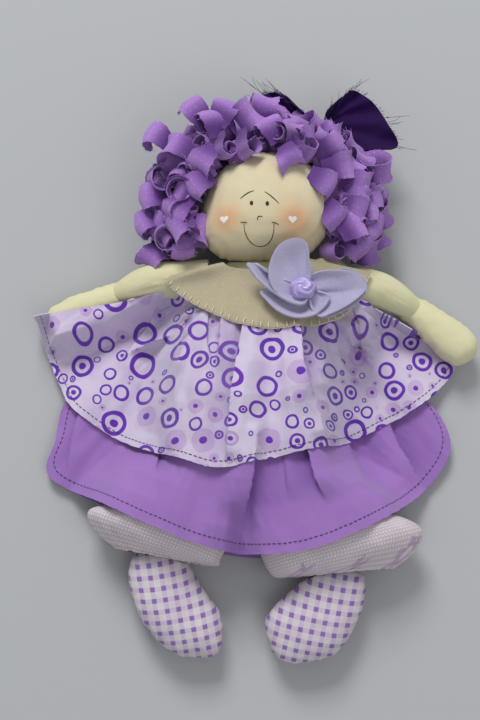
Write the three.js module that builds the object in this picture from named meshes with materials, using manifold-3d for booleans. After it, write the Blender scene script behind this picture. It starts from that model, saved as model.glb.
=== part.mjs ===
// Rag doll lying on its back: stuffed cotton body, two gathered skirts, bloomers,
// felt collar with a pinned flower, and hair of tied cotton strips.
// Millimetres, +Z up from the table, +Y toward the head, +X the doll's own left.
import * as THREE from 'three';
import Module from 'manifold-3d';

const wasm = await Module();
wasm.setup();

// Driving sizes.
const dollLength = 360;
const seatGap = 0.3;
const layerGap = 0.45;
const tierGap = 1.8;
const drapeClearance = 1.1;
const collarClearance = 2.2;
const clothReach = 5;
const cottonThickness = 1;
const feltThickness = 1.8;
const weldDistance = 0.001;

// Plan outlines are shares of the doll's length, from the middle of its chest.
const plan = ([x, y]) => new THREE.Vector2(x * dollLength, y * dollLength);
const planPoints = (shares) => shares.map(plan);

// Stuffed body: torso, hips and limbs.
const restHeight = 2.7;
const torsoHalfDepth = 22;
const torsoMiddle = restHeight + cottonThickness + 2 * seatGap + torsoHalfDepth;
const hipLine = -0.125 * dollLength;
const hipHalfDepth = 19;
const hipSeatLine = hipLine - 21;
const seamHalfDepth = 0.25;
const seamTuck = 2;
const hipWidth = 38;
const waistWidth = 41;
const chestWidth = 47;
const shoulderWidth = 67;
const shoulderTuck = 5;
const neckWidth = 24;
const neckHalfDepth = 13;
const neckFlare = 7;
const neckTuck = 4;
const neckRise = 3;
const seatTuck = 1;
const legTopRadius = 16;
const legDrop = 3;
const legTuck = 1;
const ankleRadius = 12.5;
const ankleHeight = 18;
const legPivotLine = hipSeatLine - seatGap - legTopRadius;
const shoulderRadius = 8.5;
const armSwell = 0.5;
const wristSwell = 2.2;
const wristTuck = 1.5;
const handHalfWidth = 12.8;
const handHalfDepth = 11.5;
const handTuck = 0.5;
const slimHandTuck = 1;
const armLow = 3;
const armMiddle = armLow + handHalfDepth;
const elbowHeight = 15.5;
const footHalfDepth = 14.6;
const footMiddle = 14.9;
const bodySides = 24;
const limbSides = 16;
const formPower = 2.2;

// Bloomers.
const bloomerHalfDepth = 21.5;
const bloomerDrop = 27;
const bloomerPuff = 0.6;
const bloomerHemTuck = 3.5;
const bandLoose = 2.4;

// Head.
const headHalfDepth = 28;
const headBackHeight = 11;
const headMiddle = headBackHeight + headHalfDepth;

// Hair.
const hairCoreHalfWidth = 11;
const hairCoreHalfDepth = 11;
const hairCoreOffset = hairCoreHalfWidth + seatGap;
const hairCoreHeight = headMiddle - 2;
const hairCoreSides = 10;
const stripFillShare = 0.92;
const stripSplayShare = 0.42;
const stripLean = 0.16;
const stripThickness = 1.3;
const curlRadius = 6.4;
const outerCurlRadius = 8.2;
const backCurlRadius = 7.7;
const curlShift = 1;
const curlLift = 2;
const cheekCurl = { out: 2.5, clearance: 8 };
const outerCurl = { clearance: 4, rise: 9 };
const backCheekCurl = { out: 3, clearance: 4.5 };
const backOuterCurl = { clearance: 2, drop: 13 };
const frontStripCount = 16;
const backStripCount = 13;
const bowSector = [22, 98];

// Flower and button.
const petalThickness = 1.5;
const petalLift = petalThickness + layerGap;
const petalRound = 4;
const flowerDish = 0.007;
const buttonHalfWidth = 8.3;
const buttonHalfLength = 7;
const buttonHeight = 8;
const buttonClearance = 1.4;

// Bow.
const bowThickness = 1.5;
const bowPleat = 3.4;
const bowKnotRadius = 6.6;
const bowKnotFlatShare = 0.9;
const bowHeight = 29;
const bowRise = 7;

const colours = {
  skin: '#cdc6a4',
  limb: '#cfcba6',
  gingham: '#c9bddb',
  bloomers: '#cfc6cc',
  underskirt: '#a184c4',
  overskirt: '#c3addb',
  felt: '#b9ad93',
  hair: '#a988cc',
  hairShade: '#8c69b5',
  bow: '#3c1468',
  petal: '#a39fc2',
  button: '#b4a5d8',
};

const { smoothstep, lerp, clamp, degToRad } = THREE.MathUtils;

/** Higher of two heights, rounded where they meet. */
function softMax(a, b, round) {
  const room = Math.min(round, Math.max(a, b));
  if (room <= 0) return Math.max(a, b);
  const near = Math.max(room - Math.abs(a - b), 0) / room;
  return Math.max(a, b) + near * near * room / 4;
}

/** Indexed geometry from points and faces, turned outward. */
function solidFrom(points, faces) {
  let volume = 0;
  const cross = new THREE.Vector3();
  for (const [a, b, c] of faces) {
    volume += cross.crossVectors(points[b], points[c]).dot(points[a]);
  }
  const index = faces.flatMap(([a, b, c]) => (volume < 0 ? [a, c, b] : [a, b, c]));
  const geometry = new THREE.BufferGeometry();
  const flat = points.flatMap((point) => point.toArray());
  geometry.setAttribute('position', new THREE.Float32BufferAttribute(flat, 3));
  geometry.setIndex(index);
  return geometry;
}

/** Faces between two runs of point numbers that close on themselves. */
function bandFaces(lower, upper) {
  return lower.flatMap((start, i) => {
    const next = (i + 1) % lower.length;
    return [
      [start, lower[next], upper[next]],
      [start, upper[next], upper[i]],
    ];
  });
}

/** Closed skin over equal rings, each end closed by a fan to its middle. */
function skinOverRings(rings) {
  const count = rings[0].length;
  const points = rings.flat();
  const runs = rings.map((ring, r) => ring.map((point, i) => r * count + i));
  const faces = runs.slice(1).flatMap((run, r) => bandFaces(runs[r], run));
  const ends = [[runs[0], true], [runs[runs.length - 1], false]];
  for (const [run, first] of ends) {
    const middle = new THREE.Vector3();
    run.forEach((i) => middle.addScaledVector(points[i], 1 / count));
    points.push(middle);
    const hub = points.length - 1;
    run.forEach((i, k) => {
      const next = run[(k + 1) % count];
      faces.push(first ? [hub, next, i] : [hub, i, next]);
    });
  }
  return solidFrom(points, faces);
}

/** Closed wall of a sleeve: outer rings, then inner rings back to the start. */
function skinOverLoop(rings) {
  const count = rings[0].length;
  const points = rings.flat();
  const runs = rings.map((ring, r) => ring.map((point, i) => r * count + i));
  const faces = runs.flatMap((run, r) => bandFaces(run, runs[(r + 1) % runs.length]));
  return solidFrom(points, faces);
}

/** Closed sheet between a lower and an upper grid of points. */
function skinOverSheet(lower, upper) {
  const rows = lower.length;
  const columns = lower[0].length;
  const points = [...lower.flat(), ...upper.flat()];
  const low = (r, c) => r * columns + c;
  const top = (r, c) => rows * columns + low(r, c);
  const faces = [];
  for (let r = 0; r < rows - 1; r += 1) {
    for (let c = 0; c < columns - 1; c += 1) {
      faces.push([top(r, c), top(r, c + 1), top(r + 1, c + 1)]);
      faces.push([top(r, c), top(r + 1, c + 1), top(r + 1, c)]);
      faces.push([low(r, c), low(r + 1, c + 1), low(r, c + 1)]);
      faces.push([low(r, c), low(r + 1, c), low(r + 1, c + 1)]);
    }
  }
  const rim = [];
  for (let c = 0; c < columns - 1; c += 1) {
    rim.push([0, c]);
  }
  for (let r = 0; r < rows - 1; r += 1) {
    rim.push([r, columns - 1]);
  }
  for (let c = columns - 1; c > 0; c -= 1) {
    rim.push([rows - 1, c]);
  }
  for (let r = rows - 1; r > 0; r -= 1) {
    rim.push([r, 0]);
  }
  const lowRun = rim.map(([r, c]) => low(r, c));
  const topRun = rim.map(([r, c]) => top(r, c));
  faces.push(...bandFaces(lowRun, topRun));
  return solidFrom(points, faces);
}

/** Manifold solid of a geometry. */
function toSolid(geometry) {
  const vertProperties = new Float32Array(geometry.attributes.position.array);
  const triVerts = new Uint32Array(geometry.index.array);
  return new wasm.Manifold(new wasm.Mesh({ numProp: 3, vertProperties, triVerts }));
}

/** Geometry with the given cutters taken away. */
function carve(geometry, cutters) {
  const cut = cutters.reduce((solid, cutter) => solid.subtract(toSolid(cutter)), toSolid(geometry));
  const mesh = cut.getMesh();
  const result = new THREE.BufferGeometry();
  result.setAttribute('position', new THREE.BufferAttribute(mesh.vertProperties, 3));
  result.setIndex(new THREE.BufferAttribute(mesh.triVerts, 1));
  return result;
}

/** Values of a list of equal arrays at a share of its length, on a smooth curve. */
function smoothRow(rows, share) {
  const spot = clamp(share, 0, 1) * (rows.length - 1);
  const first = Math.min(Math.floor(spot), rows.length - 2);
  const part = spot - first;
  const pick = (i) => rows[clamp(i, 0, rows.length - 1)];
  const [a, b, c, d] = [pick(first - 1), pick(first), pick(first + 1), pick(first + 2)];
  return b.map((value, k) => {
    const startSlope = (c[k] - a[k]) / 2;
    const endSlope = (d[k] - value) / 2;
    const rise = c[k] - value;
    const cubic = startSlope + endSlope - 2 * rise;
    const square = 3 * rise - 2 * startSlope - endSlope;
    return value + part * (startSlope + part * (square + part * cubic));
  });
}

/** Stuffed form swept along a plan path; each row is x, y, z, half width, half depth. */
class StuffedForm {
  constructor(rows, { power = formPower, sides = limbSides, steps = 12, caps = [true, true] } = {}) {
    this.rows = rows;
    this.power = power;
    this.sides = sides;
    this.steps = steps;
    this.caps = caps;
    const fine = 48;
    this.samples = Array.from({ length: fine + 1 }, (gap, i) => smoothRow(rows, i / fine));
  }

  /** Half depth at an offset across the form. */
  halfDepthAt(offset, wide, deep) {
    const across = Math.min(Math.abs(offset) / wide, 1);
    return deep * (1 - across ** this.power) ** (1 / this.power);
  }

  /** Nearest place along the path: row values, offset across and distance past an end. */
  placeOf(x, y) {
    let best = { distance: Infinity };
    for (let i = 0; i < this.samples.length - 1; i += 1) {
      const [from, to] = [this.samples[i], this.samples[i + 1]];
      const length = Math.hypot(to[0] - from[0], to[1] - from[1]);
      const [alongX, alongY] = [(to[0] - from[0]) / length, (to[1] - from[1]) / length];
      const [awayX, awayY] = [x - from[0], y - from[1]];
      const reach = awayX * alongX + awayY * alongY;
      const held = clamp(reach, 0, length);
      const past = Math.abs(reach - held);
      const offset = awayX * alongY - awayY * alongX;
      const distance = Math.hypot(past, offset);
      if (distance < best.distance) best = { distance, offset, past, i, share: held / length };
    }
    const [from, to] = [this.samples[best.i], this.samples[best.i + 1]];
    return { ...best, row: from.map((value, k) => lerp(value, to[k], best.share)) };
  }

  /** Height of the form's upper skin with its round ends, or nothing beside it. */
  topAt(x, y) {
    const { offset, past, row } = this.placeOf(x, y);
    const [, , middle, wide, deep] = row;
    const pastShare = past / Math.min(wide, deep);
    if (pastShare >= 1) return -Infinity;
    const shrink = Math.sqrt(1 - pastShare * pastShare);
    if (Math.abs(offset) >= wide * shrink) return -Infinity;
    return middle + this.halfDepthAt(offset, wide * shrink, deep * shrink);
  }

  /** Highest skin within a short reach, for cloth that can't follow every edge. */
  touchAt(x, y) {
    const bearings = 8;
    let height = this.topAt(x, y);
    for (let i = 0; i < bearings; i += 1) {
      const turn = 2 * Math.PI * i / bearings;
      const near = this.topAt(x + clothReach * Math.cos(turn), y + clothReach * Math.sin(turn));
      height = Math.max(height, near);
    }
    return height;
  }

  /** Height of cloth that hangs over the form and falls away beside it. */
  tentAt(x, y, flatShare, fall) {
    const { offset, past, row } = this.placeOf(x, y);
    const [, , middle, wide, deep] = row;
    const beside = Math.max(Math.abs(offset) - wide * flatShare, 0);
    const spread = wide * (1 - flatShare) + fall;
    const drop = smoothstep(Math.hypot(beside, past), 0, spread);
    return (middle + deep) * (1 - drop);
  }

  /** Ring of the skin at one row, drawn in by a share and moved along the path. */
  ringAt(row, tangent, shrink, slide, grow) {
    const [x, y, z, wide, deep] = row;
    const across = new THREE.Vector2(tangent.y, -tangent.x);
    return Array.from({ length: this.sides }, (gap, i) => {
      const turn = 2 * Math.PI * i / this.sides;
      const [c, s] = [Math.cos(turn), Math.sin(turn)];
      const wideAt = Math.sign(c) * Math.abs(c) ** (2 / this.power) * (wide * shrink + grow);
      const deepAt = Math.sign(s) * Math.abs(s) ** (2 / this.power) * (deep * shrink + grow);
      return new THREE.Vector3(
        x + across.x * wideAt + tangent.x * slide,
        y + across.y * wideAt + tangent.y * slide,
        z + deepAt,
      );
    });
  }

  /** Closed skin of the form, all round larger by the given length. */
  build(grow = 0) {
    const rings = [];
    const tangentAt = (share) => {
      const step = 0.01;
      const from = smoothRow(this.rows, share - step);
      const to = smoothRow(this.rows, share + step);
      return new THREE.Vector2(to[0] - from[0], to[1] - from[1]).normalize();
    };
    const capTurns = [0.12, 0.3, 0.5, 0.72].map((share) => share * Math.PI / 2);
    const cap = (share, sign, turns) => {
      const row = smoothRow(this.rows, share);
      const reach = Math.min(row[3], row[4]) + grow;
      turns.forEach((turn) => {
        const slide = sign * reach * Math.cos(turn);
        rings.push(this.ringAt(row, tangentAt(share), Math.sin(turn), slide, grow * Math.sin(turn)));
      });
    };
    if (this.caps[0]) cap(0, -1, capTurns);
    for (let i = 0; i <= this.steps; i += 1) {
      const share = i / this.steps;
      const end = i === 0 ? -1 : Number(i === this.steps);
      const slide = this.caps[end < 0 ? 0 : 1] ? 0 : end * grow;
      rings.push(this.ringAt(smoothRow(this.rows, share), tangentAt(share), 1, slide, grow));
    }
    if (this.caps[1]) cap(1, 1, [...capTurns].reverse());
    return skinOverRings(rings);
  }
}

/** Form rows from plan shares and lengths: x share, y share, z, half width, half depth. */
const formRows = (rows) => rows.map(([x, y, ...rest]) => [x * dollLength, y * dollLength, ...rest]);

// The wedge ends of torso and hips leave room to sit the doll up.
const hipShare = hipLine / dollLength;
const gapShare = seatGap / dollLength;
const torso = new StuffedForm(formRows([
  [-0.02, hipShare + gapShare, torsoMiddle, hipWidth - seamTuck, seamHalfDepth],
  [-0.019, hipShare + 0.028, torsoMiddle, hipWidth, hipHalfDepth * 0.44],
  [-0.017, hipShare + 0.06, torsoMiddle, waistWidth, torsoHalfDepth * 0.93],
  [-0.012, -0.005, torsoMiddle, waistWidth, torsoHalfDepth],
  [-0.004, 0.05, torsoMiddle, waistWidth, torsoHalfDepth],
  [0.002, 0.095, torsoMiddle, chestWidth, torsoHalfDepth * 0.93],
  [0.011, 0.125, torsoMiddle, shoulderWidth, torsoHalfDepth * 0.85],
  [0.012, 0.15, torsoMiddle, shoulderWidth - shoulderTuck, torsoHalfDepth * 0.75],
  [0.009, 0.163, torsoMiddle + neckRise, neckWidth + neckFlare, neckHalfDepth * 1.08],
  [0.009, 0.176, torsoMiddle + neckRise * 1.33, neckWidth, neckHalfDepth],
  [0.01, 0.2, torsoMiddle + neckRise * 2, neckWidth - neckTuck, neckHalfDepth * 0.85],
]), { sides: bodySides, steps: 20, caps: [false, true] });

const seatShare = hipSeatLine / dollLength;
const hips = new StuffedForm(formRows([
  [-0.021, hipShare - gapShare, torsoMiddle, hipWidth - seamTuck, seamHalfDepth],
  [-0.0215, (hipShare + seatShare) / 2, torsoMiddle, hipWidth, hipHalfDepth * 0.48],
  [-0.0215, seatShare, torsoMiddle, hipWidth - seatTuck, hipHalfDepth],
]), { sides: bodySides, steps: 4, caps: [false, false] });

const legHeight = torsoMiddle - legDrop;
const kneeHeight = (legHeight + ankleHeight) / 2;
const legShare = legPivotLine / dollLength;
/** Leg from its round top in the hips to the ankle. */
function legForm(pivotShare, kneeShares, ankleShares) {
  return new StuffedForm(formRows([
    [pivotShare, legShare, legHeight, legTopRadius, legTopRadius],
    [...kneeShares, kneeHeight, legTopRadius - legTuck, legTopRadius - legTuck],
    [...ankleShares, ankleHeight, ankleRadius, ankleRadius],
  ]), { steps: 6, caps: [true, false] });
}

const legLeft = legForm(0.035, [0.08, -0.29], [0.118, -0.352]);
const legRight = legForm(-0.078, [-0.12, -0.278], [-0.158, -0.322]);

/** Arm from its root ball at the shoulder, widest at the hand. */
function armForm([shoulder, elbow, wrist, palm, tip], handWidth) {
  return new StuffedForm(formRows([
    [...shoulder, torsoMiddle - armSwell, shoulderRadius, shoulderRadius],
    [...elbow, elbowHeight, shoulderRadius + armSwell, shoulderRadius + armSwell],
    [...wrist, armMiddle, shoulderRadius + wristSwell, handHalfDepth - wristTuck],
    [...palm, armMiddle, handWidth, handHalfDepth],
    [...tip, armMiddle, handWidth, handHalfDepth - handTuck],
  ]), { steps: 9 });
}

const armLeft = armForm(
  [[0.221, 0.132], [0.262, 0.112], [0.3, 0.087], [0.338, 0.055], [0.358, 0.036]],
  handHalfWidth,
);
const armRight = armForm(
  [[-0.192, 0.148], [-0.232, 0.136], [-0.275, 0.118], [-0.32, 0.1], [-0.348, 0.087]],
  handHalfWidth - slimHandTuck,
);

// Bloomers: one wide sleeve for each leg, a seat and a waistband.
const bloomerMiddle = restHeight + bloomerHalfDepth;
/** Rings of a sleeve whose hem may be slanted. */
function sleeveRings(rows, sides, grow) {
  return rows.map(([x, y, slant, wide, deep, middle]) => Array.from({ length: sides }, (gap, i) => {
    const turn = 2 * Math.PI * i / sides;
    const [c, s] = [Math.cos(turn), Math.sin(turn)];
    const across = Math.sign(c) * Math.abs(c) ** (2 / formPower) * (wide + grow);
    const up = Math.sign(s) * Math.abs(s) ** (2 / formPower) * (deep + grow);
    const lean = degToRad(slant);
    return new THREE.Vector3(x + across * Math.cos(lean), y + across * Math.sin(lean), middle + up);
  }));
}

/** Open cotton sleeve with wall thickness inward. */
function clothSleeve(rows, sides) {
  const outer = sleeveRings(rows, sides, 0);
  const inner = sleeveRings(rows, sides, -cottonThickness);
  return skinOverLoop([...outer, ...inner.reverse()]);
}

const sleeveTop = (hipLine - bloomerDrop) / dollLength;
/** Rows of one leg of the bloomers: x share, y share, slant in degrees and half width. */
function sleeveRows(shapes) {
  const puffs = [0, bloomerPuff, bloomerPuff * 0.67, -bloomerPuff * 0.83, -bloomerHemTuck];
  return formRows(shapes.map(([x, y, slant, wideShare], i) => (
    [x, y, slant, wideShare * dollLength, bloomerHalfDepth + puffs[i], bloomerMiddle + puffs[i]]
  )));
}

const sleeveRowsLeft = sleeveRows([
  [0.034, sleeveTop, 2, 0.0556],
  [0.058, -0.235, 4, 0.075],
  [0.096, -0.29, 8, 0.1111],
  [0.128, -0.335, 11, 0.125],
  [0.144, -0.358, 11, 0.1139],
]);
const sleeveRowsRight = sleeveRows([
  [-0.078, sleeveTop, -2, 0.0556],
  [-0.1, -0.232, -5, 0.0722],
  [-0.14, -0.272, -10, 0.1],
  [-0.168, -0.305, -12, 0.1139],
  [-0.18, -0.327, -12, 0.1056],
]);
const sleeveForm = (rows) => new StuffedForm(
  rows.map(([x, y, , wide, deep, middle]) => [x, y, middle, wide, deep]),
);
const sleeveLeft = sleeveForm(sleeveRowsLeft);
const sleeveRight = sleeveForm(sleeveRowsRight);

const waistbandTop = -0.02;
const bandHalfDepth = torsoHalfDepth + seatGap + cottonThickness;
const bandWidth = waistWidth + bandLoose;
const bandBottom = hipShare + 0.06;
const waistRows = [
  [-0.014, waistbandTop, 0, bandWidth, bandHalfDepth, torsoMiddle],
  [-0.017, bandBottom, 0, bandWidth, bandHalfDepth, torsoMiddle],
];
const seatRows = [
  [-0.0175, bandBottom - 2 * gapShare, 0, bandWidth, bandHalfDepth, torsoMiddle],
  [-0.02, hipShare, 0, bandWidth, bandHalfDepth, torsoMiddle],
  [-0.022, sleeveTop + 3 * gapShare, 0, bandWidth, bloomerHalfDepth, bloomerMiddle],
];

// Collar shape: neck edge and outer edge, from the doll's right shoulder round the chest.
const collarNeck = [
  [-0.065, 0.171], [-0.055, 0.16], [-0.035, 0.155], [0.008, 0.152], [0.05, 0.155], [0.074, 0.162],
  [0.086, 0.176],
];
const collarEdge = [
  [-0.163, 0.153], [-0.154, 0.128], [-0.101, 0.087], [-0.024, 0.0525], [0.053, 0.049], [0.148, 0.078],
  [0.192, 0.158],
];
const collarBackNeck = [[-0.07, 0.167], [0.008, 0.158], [0.086, 0.171]];
const collarBackEdge = [[-0.15, 0.14], [-0.11, 0.085], [0.01, 0.055], [0.13, 0.08], [0.18, 0.145]];
const collarLapShares = [0.62, 0.7];

// Skirts: gather edge and hem of each tier.
const overGather = [
  [-0.142, 0.128], [-0.11, 0.105], [-0.06, 0.085], [0.005, 0.075], [0.07, 0.078], [0.13, 0.09],
  [0.175, 0.112],
];
const overHem = [
  [-0.397, 0.086], [-0.381, 0.034], [-0.356, -0.025], [-0.329, -0.071], [-0.247, -0.128],
  [-0.137, -0.173], [-0.07, -0.192], [0.002, -0.179], [0.122, -0.149], [0.213, -0.109],
  [0.29, -0.064], [0.34, -0.017], [0.362, 0.022],
];
const underGather = [
  [-0.125, 0.06], [-0.085, 0.045], [-0.045, 0.035], [-0.01, 0.03], [0.035, 0.035], [0.08, 0.045],
  [0.118, 0.06],
];
const underHem = [
  [-0.3, 0.005], [-0.347, -0.062], [-0.36, -0.126], [-0.371, -0.19], [-0.283, -0.238], [-0.189, -0.283],
  [-0.101, -0.318], [-0.015, -0.333], [0.071, -0.329], [0.157, -0.3], [0.249, -0.251], [0.309, -0.2],
  [0.34, -0.144], [0.3275, -0.089], [0.28, -0.03],
];

/** Smooth plan curve through share points. */
const planCurve = (shares) => new THREE.SplineCurve(planPoints(shares));

// Pleats fan out from the neck: bearing in degrees from straight down, spread, share of the height.
const pleatHub = plan([0.012, 0.27]);
const pleatTop = 7;
const pleats = {
  over: [
    [-9.5, 4.2, 0.86], [7.5, 3.6, 0.64], [12.5, 3, 0.79], [24, 4, 0.57],
    [-27, 5, 0.49], [-18, 4, 0.51], [38, 5, 0.43], [-44, 5, 0.37],
  ],
  under: [
    [-4, 4, 1], [9, 3.4, 0.57], [15, 3, 0.49], [-17, 4, 0.6],
    [-28, 4.5, 0.63], [27, 4, 0.63], [38, 5, 0.51], [-40, 5, 0.49],
  ],
};
const pleatStart = 55;
const pleatRun = 95;
/** Height that the pleats add at a place. */
function pleatHeight(list, x, y) {
  const away = new THREE.Vector2(x, y).sub(pleatHub);
  const bearing = THREE.MathUtils.radToDeg(Math.atan2(away.x, -away.y));
  const growth = smoothstep(away.length(), pleatStart, pleatStart + pleatRun);
  return growth * pleatTop * list.reduce((sum, [place, spread, share]) => (
    sum + share * Math.exp(-(((bearing - place) / spread) ** 2))
  ), 0);
}

/** Height field kept on a fine grid, so that stacked cloths build quickly. */
function gridded(heightAt) {
  const kept = new Map();
  const knot = (i, j) => {
    const key = `${i},${j}`;
    if (!kept.has(key)) kept.set(key, heightAt(i * fieldStep, j * fieldStep));
    return kept.get(key);
  };
  return (x, y) => {
    const [i, j] = [Math.floor(x / fieldStep), Math.floor(y / fieldStep)];
    const [across, along] = [x / fieldStep - i, y / fieldStep - j];
    const near = lerp(knot(i, j), knot(i + 1, j), across);
    return lerp(near, lerp(knot(i, j + 1), knot(i + 1, j + 1), across), along);
  };
}

// Height fields: what each cloth lies on.
const fieldStep = 2;
const tentFlat = 0.55;
const tentFall = 30;
const limbFlat = 0.7;
const limbFall = 15;
const collarFlat = 0.9;
const collarFall = 8;
const roundMeet = 9;
const limbMeet = 1;
const wingMeet = 4;
const wingClearance = 1.5 * drapeClearance;
const tentLift = 8;
const underFloor = 2 * cottonThickness + seatGap + layerGap;
const [waistForm, seatForm] = [waistRows, seatRows].map((rows) => sleeveForm(formRows(rows)));
const clothForms = [torso, waistForm, seatForm, sleeveLeft, sleeveRight];
/** Height of cloth stretched over the body and the bloomers. */
function bodyHeight(x, y) {
  const tents = clothForms.map((form) => form.tentAt(x, y, tentFlat, tentFall));
  return tents.reduce((height, tent) => softMax(height, tent, roundMeet), 0);
}
/** Height of loose cloth: clear of the body, and flat on what is under it elsewhere. */
function clearOfBody(x, y) {
  const height = bodyHeight(x, y);
  return height + drapeClearance * smoothstep(height, 0, tentLift);
}
const underLow = gridded((x, y) => {
  const touch = Math.max(...clothForms.map((form) => form.touchAt(x, y))) + drapeClearance;
  const drape = Math.max(clearOfBody(x, y), underFloor);
  return Math.max(drape, touch) + pleatHeight(pleats.under, x, y);
});

const steepest = 3;
const slopeReach = 4;
/** Thickness measured upward, so that steep cloth keeps its real thickness. */
function uprightThickness(heightAt, x, y, thickness) {
  const here = heightAt(x, y);
  const slope = (ahead, behind) => (
    Math.max(Math.abs(ahead - here), Math.abs(behind - here)) / slopeReach
  );
  const slopeX = slope(heightAt(x + slopeReach, y), heightAt(x - slopeReach, y));
  const slopeY = slope(heightAt(x, y + slopeReach), heightAt(x, y - slopeReach));
  return thickness * Math.min(Math.hypot(1, slopeX, slopeY), steepest);
}

const wingLine = 28;
const wingSlope = 0.36;
const wingBlend = 12;
const overLow = gridded((x, y) => {
  const tent = armRight.tentAt(x, y, limbFlat, limbFall);
  const overArm = softMax(tent, armRight.touchAt(x, y), limbMeet) + wingClearance;
  const edge = wingLine - wingSlope * Math.max(Math.abs(x) - waistWidth, 0);
  const wing = smoothstep(y, edge, edge + wingBlend);
  const bare = Math.max(clearOfBody(x, y), cottonThickness + layerGap);
  const lined = underLow(x, y) + uprightThickness(underLow, x, y, cottonThickness + tierGap);
  const base = Math.max(lerp(lined, bare, wing), torso.touchAt(x, y) + drapeClearance);
  return softMax(base, overArm, wingMeet) + pleatHeight(pleats.over, x, y);
});
const collarLow = gridded((x, y) => {
  const body = Math.max(torso.touchAt(x, y), torso.tentAt(x, y, collarFlat, collarFall));
  const skirt = overLow(x, y) + uprightThickness(overLow, x, y, cottonThickness + collarClearance);
  return Math.max(body + drapeClearance, skirt);
});

/** Cloth between two plan curves, lying on a height field. */
function drapedSheet({ inner, outer, span = [0, 1], columns, rows, low, thickness, raise = 0 }) {
  const [innerCurve, outerCurve] = [planCurve(inner), planCurve(outer)];
  const lower = [];
  const upper = [];
  for (let r = 0; r <= rows; r += 1) {
    const lowRow = [];
    const topRow = [];
    for (let c = 0; c <= columns; c += 1) {
      const share = lerp(span[0], span[1], c / columns);
      const from = innerCurve.getPoint(share);
      const spot = from.lerp(outerCurve.getPoint(share), r / rows);
      const height = low(spot.x, spot.y) + uprightThickness(low, spot.x, spot.y, raise);
      lowRow.push(new THREE.Vector3(spot.x, spot.y, height));
      const thick = uprightThickness(low, spot.x, spot.y, thickness);
      topRow.push(new THREE.Vector3(spot.x, spot.y, height + thick));
    }
    lower.push(lowRow);
    upper.push(topRow);
  }
  return skinOverSheet(lower, upper);
}

/** Flat cloth panel between two plan curves. */
function flatPanel({ inner, outer, columns, base, thickness = cottonThickness }) {
  return drapedSheet({ inner, outer, columns, rows: 1, low: () => base, thickness });
}

/** Closed smooth curve through plan points. */
const closedCurve = (outline) => (
  new THREE.CatmullRomCurve3(outline.map(({ x, y }) => new THREE.Vector3(x, y, 0)), true)
);

/** Two-panel stuffed pillow with a seam round its outline. */
function pillow(outline, { middle, halfDepth, count, power = formPower, hub }) {
  const shares = [1, 0.95, 0.84, 0.66, 0.4];
  const curve = closedCurve(outline);
  const ring = curve.getSpacedPoints(count).slice(0, count);
  const ringAt = (share, side) => ring.map((point) => {
    const lift = halfDepth * (1 - share ** power) ** (1 / power);
    const spot = new THREE.Vector2(point.x, point.y).lerp(hub, 1 - share);
    return new THREE.Vector3(spot.x, spot.y, middle + side * lift);
  });
  const lowRings = [...shares].reverse().map((share) => ringAt(share, -1));
  const topRings = shares.slice(1).map((share) => ringAt(share, 1));
  const rings = [...lowRings, ...topRings];
  const runs = rings.map((row, r) => row.map((point, i) => r * count + i));
  const points = rings.flat();
  const faces = runs.slice(1).flatMap((run, r) => bandFaces(runs[r], run));
  [[runs[0], -1], [runs[runs.length - 1], 1]].forEach(([run, side]) => {
    points.push(new THREE.Vector3(hub.x, hub.y, middle + side * halfDepth));
    const top = points.length - 1;
    run.forEach((i, k) => {
      const next = run[(k + 1) % count];
      faces.push(side < 0 ? [top, next, i] : [top, i, next]);
    });
  });
  return solidFrom(points, faces);
}

const headOutline = planPoints([
  [-0.102, 0.25], [-0.103, 0.222], [-0.088, 0.196], [-0.058, 0.181], [0.002, 0.1755], [0.06, 0.18],
  [0.1, 0.2], [0.126, 0.235], [0.134, 0.272], [0.124, 0.315], [0.09, 0.353], [0.04, 0.372],
  [-0.015, 0.37], [-0.06, 0.348], [-0.09, 0.308],
]);
const headHub = plan([0.0153, 0.275]);
const headShape = { middle: headMiddle, halfDepth: headHalfDepth, count: 34, hub: headHub };
const footRightOutline = planPoints([
  [-0.222, -0.333], [-0.2265, -0.37], [-0.2175, -0.411], [-0.198, -0.45], [-0.174, -0.48],
  [-0.136, -0.503], [-0.093, -0.507], [-0.0665, -0.4995], [-0.061, -0.47], [-0.062, -0.44],
  [-0.0735, -0.416], [-0.102, -0.378], [-0.125, -0.335], [-0.15, -0.316], [-0.19, -0.316],
]);
const footLeftOutline = planPoints([
  [0.184, -0.365], [0.186, -0.39], [0.18, -0.425], [0.165, -0.455], [0.145, -0.489], [0.126, -0.503],
  [0.088, -0.514], [0.055, -0.5165], [0.031, -0.5085], [0.017, -0.485], [0.0085, -0.445],
  [0.021, -0.4215], [0.05, -0.395], [0.08, -0.37], [0.105, -0.348], [0.145, -0.345],
]);
const footRightHub = plan([-0.142, -0.43]);
const footLeftHub = plan([0.094, -0.45]);
/** Gingham foot with a hollow for the ankle. */
function foot(outline, hub, leg) {
  const shape = { middle: footMiddle, halfDepth: footHalfDepth, count: 28, hub };
  return carve(pillow(outline, shape), [leg.build(seatGap)]);
}

const headCurve = closedCurve(headOutline);
/** Direction of a bearing, and the head's reach from its hub that way. */
function aroundHead(bearing) {
  const away = new THREE.Vector2(Math.cos(bearing), Math.sin(bearing));
  let best = { miss: Infinity };
  const fine = 360;
  for (let i = 0; i < fine; i += 1) {
    const point = headCurve.getPoint(i / fine);
    const flat = new THREE.Vector2(point.x - headHub.x, point.y - headHub.y);
    const miss = Math.abs(flat.clone().normalize().cross(away)) + (flat.dot(away) > 0 ? 0 : 2);
    if (miss < best.miss) best = { miss, reach: flat.length() };
  }
  return { away, reach: best.reach };
}

// Hair runs from one cheek over the top of the head to the other.
const hairStart = degToRad(-26);
const hairEnd = degToRad(206);
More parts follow.
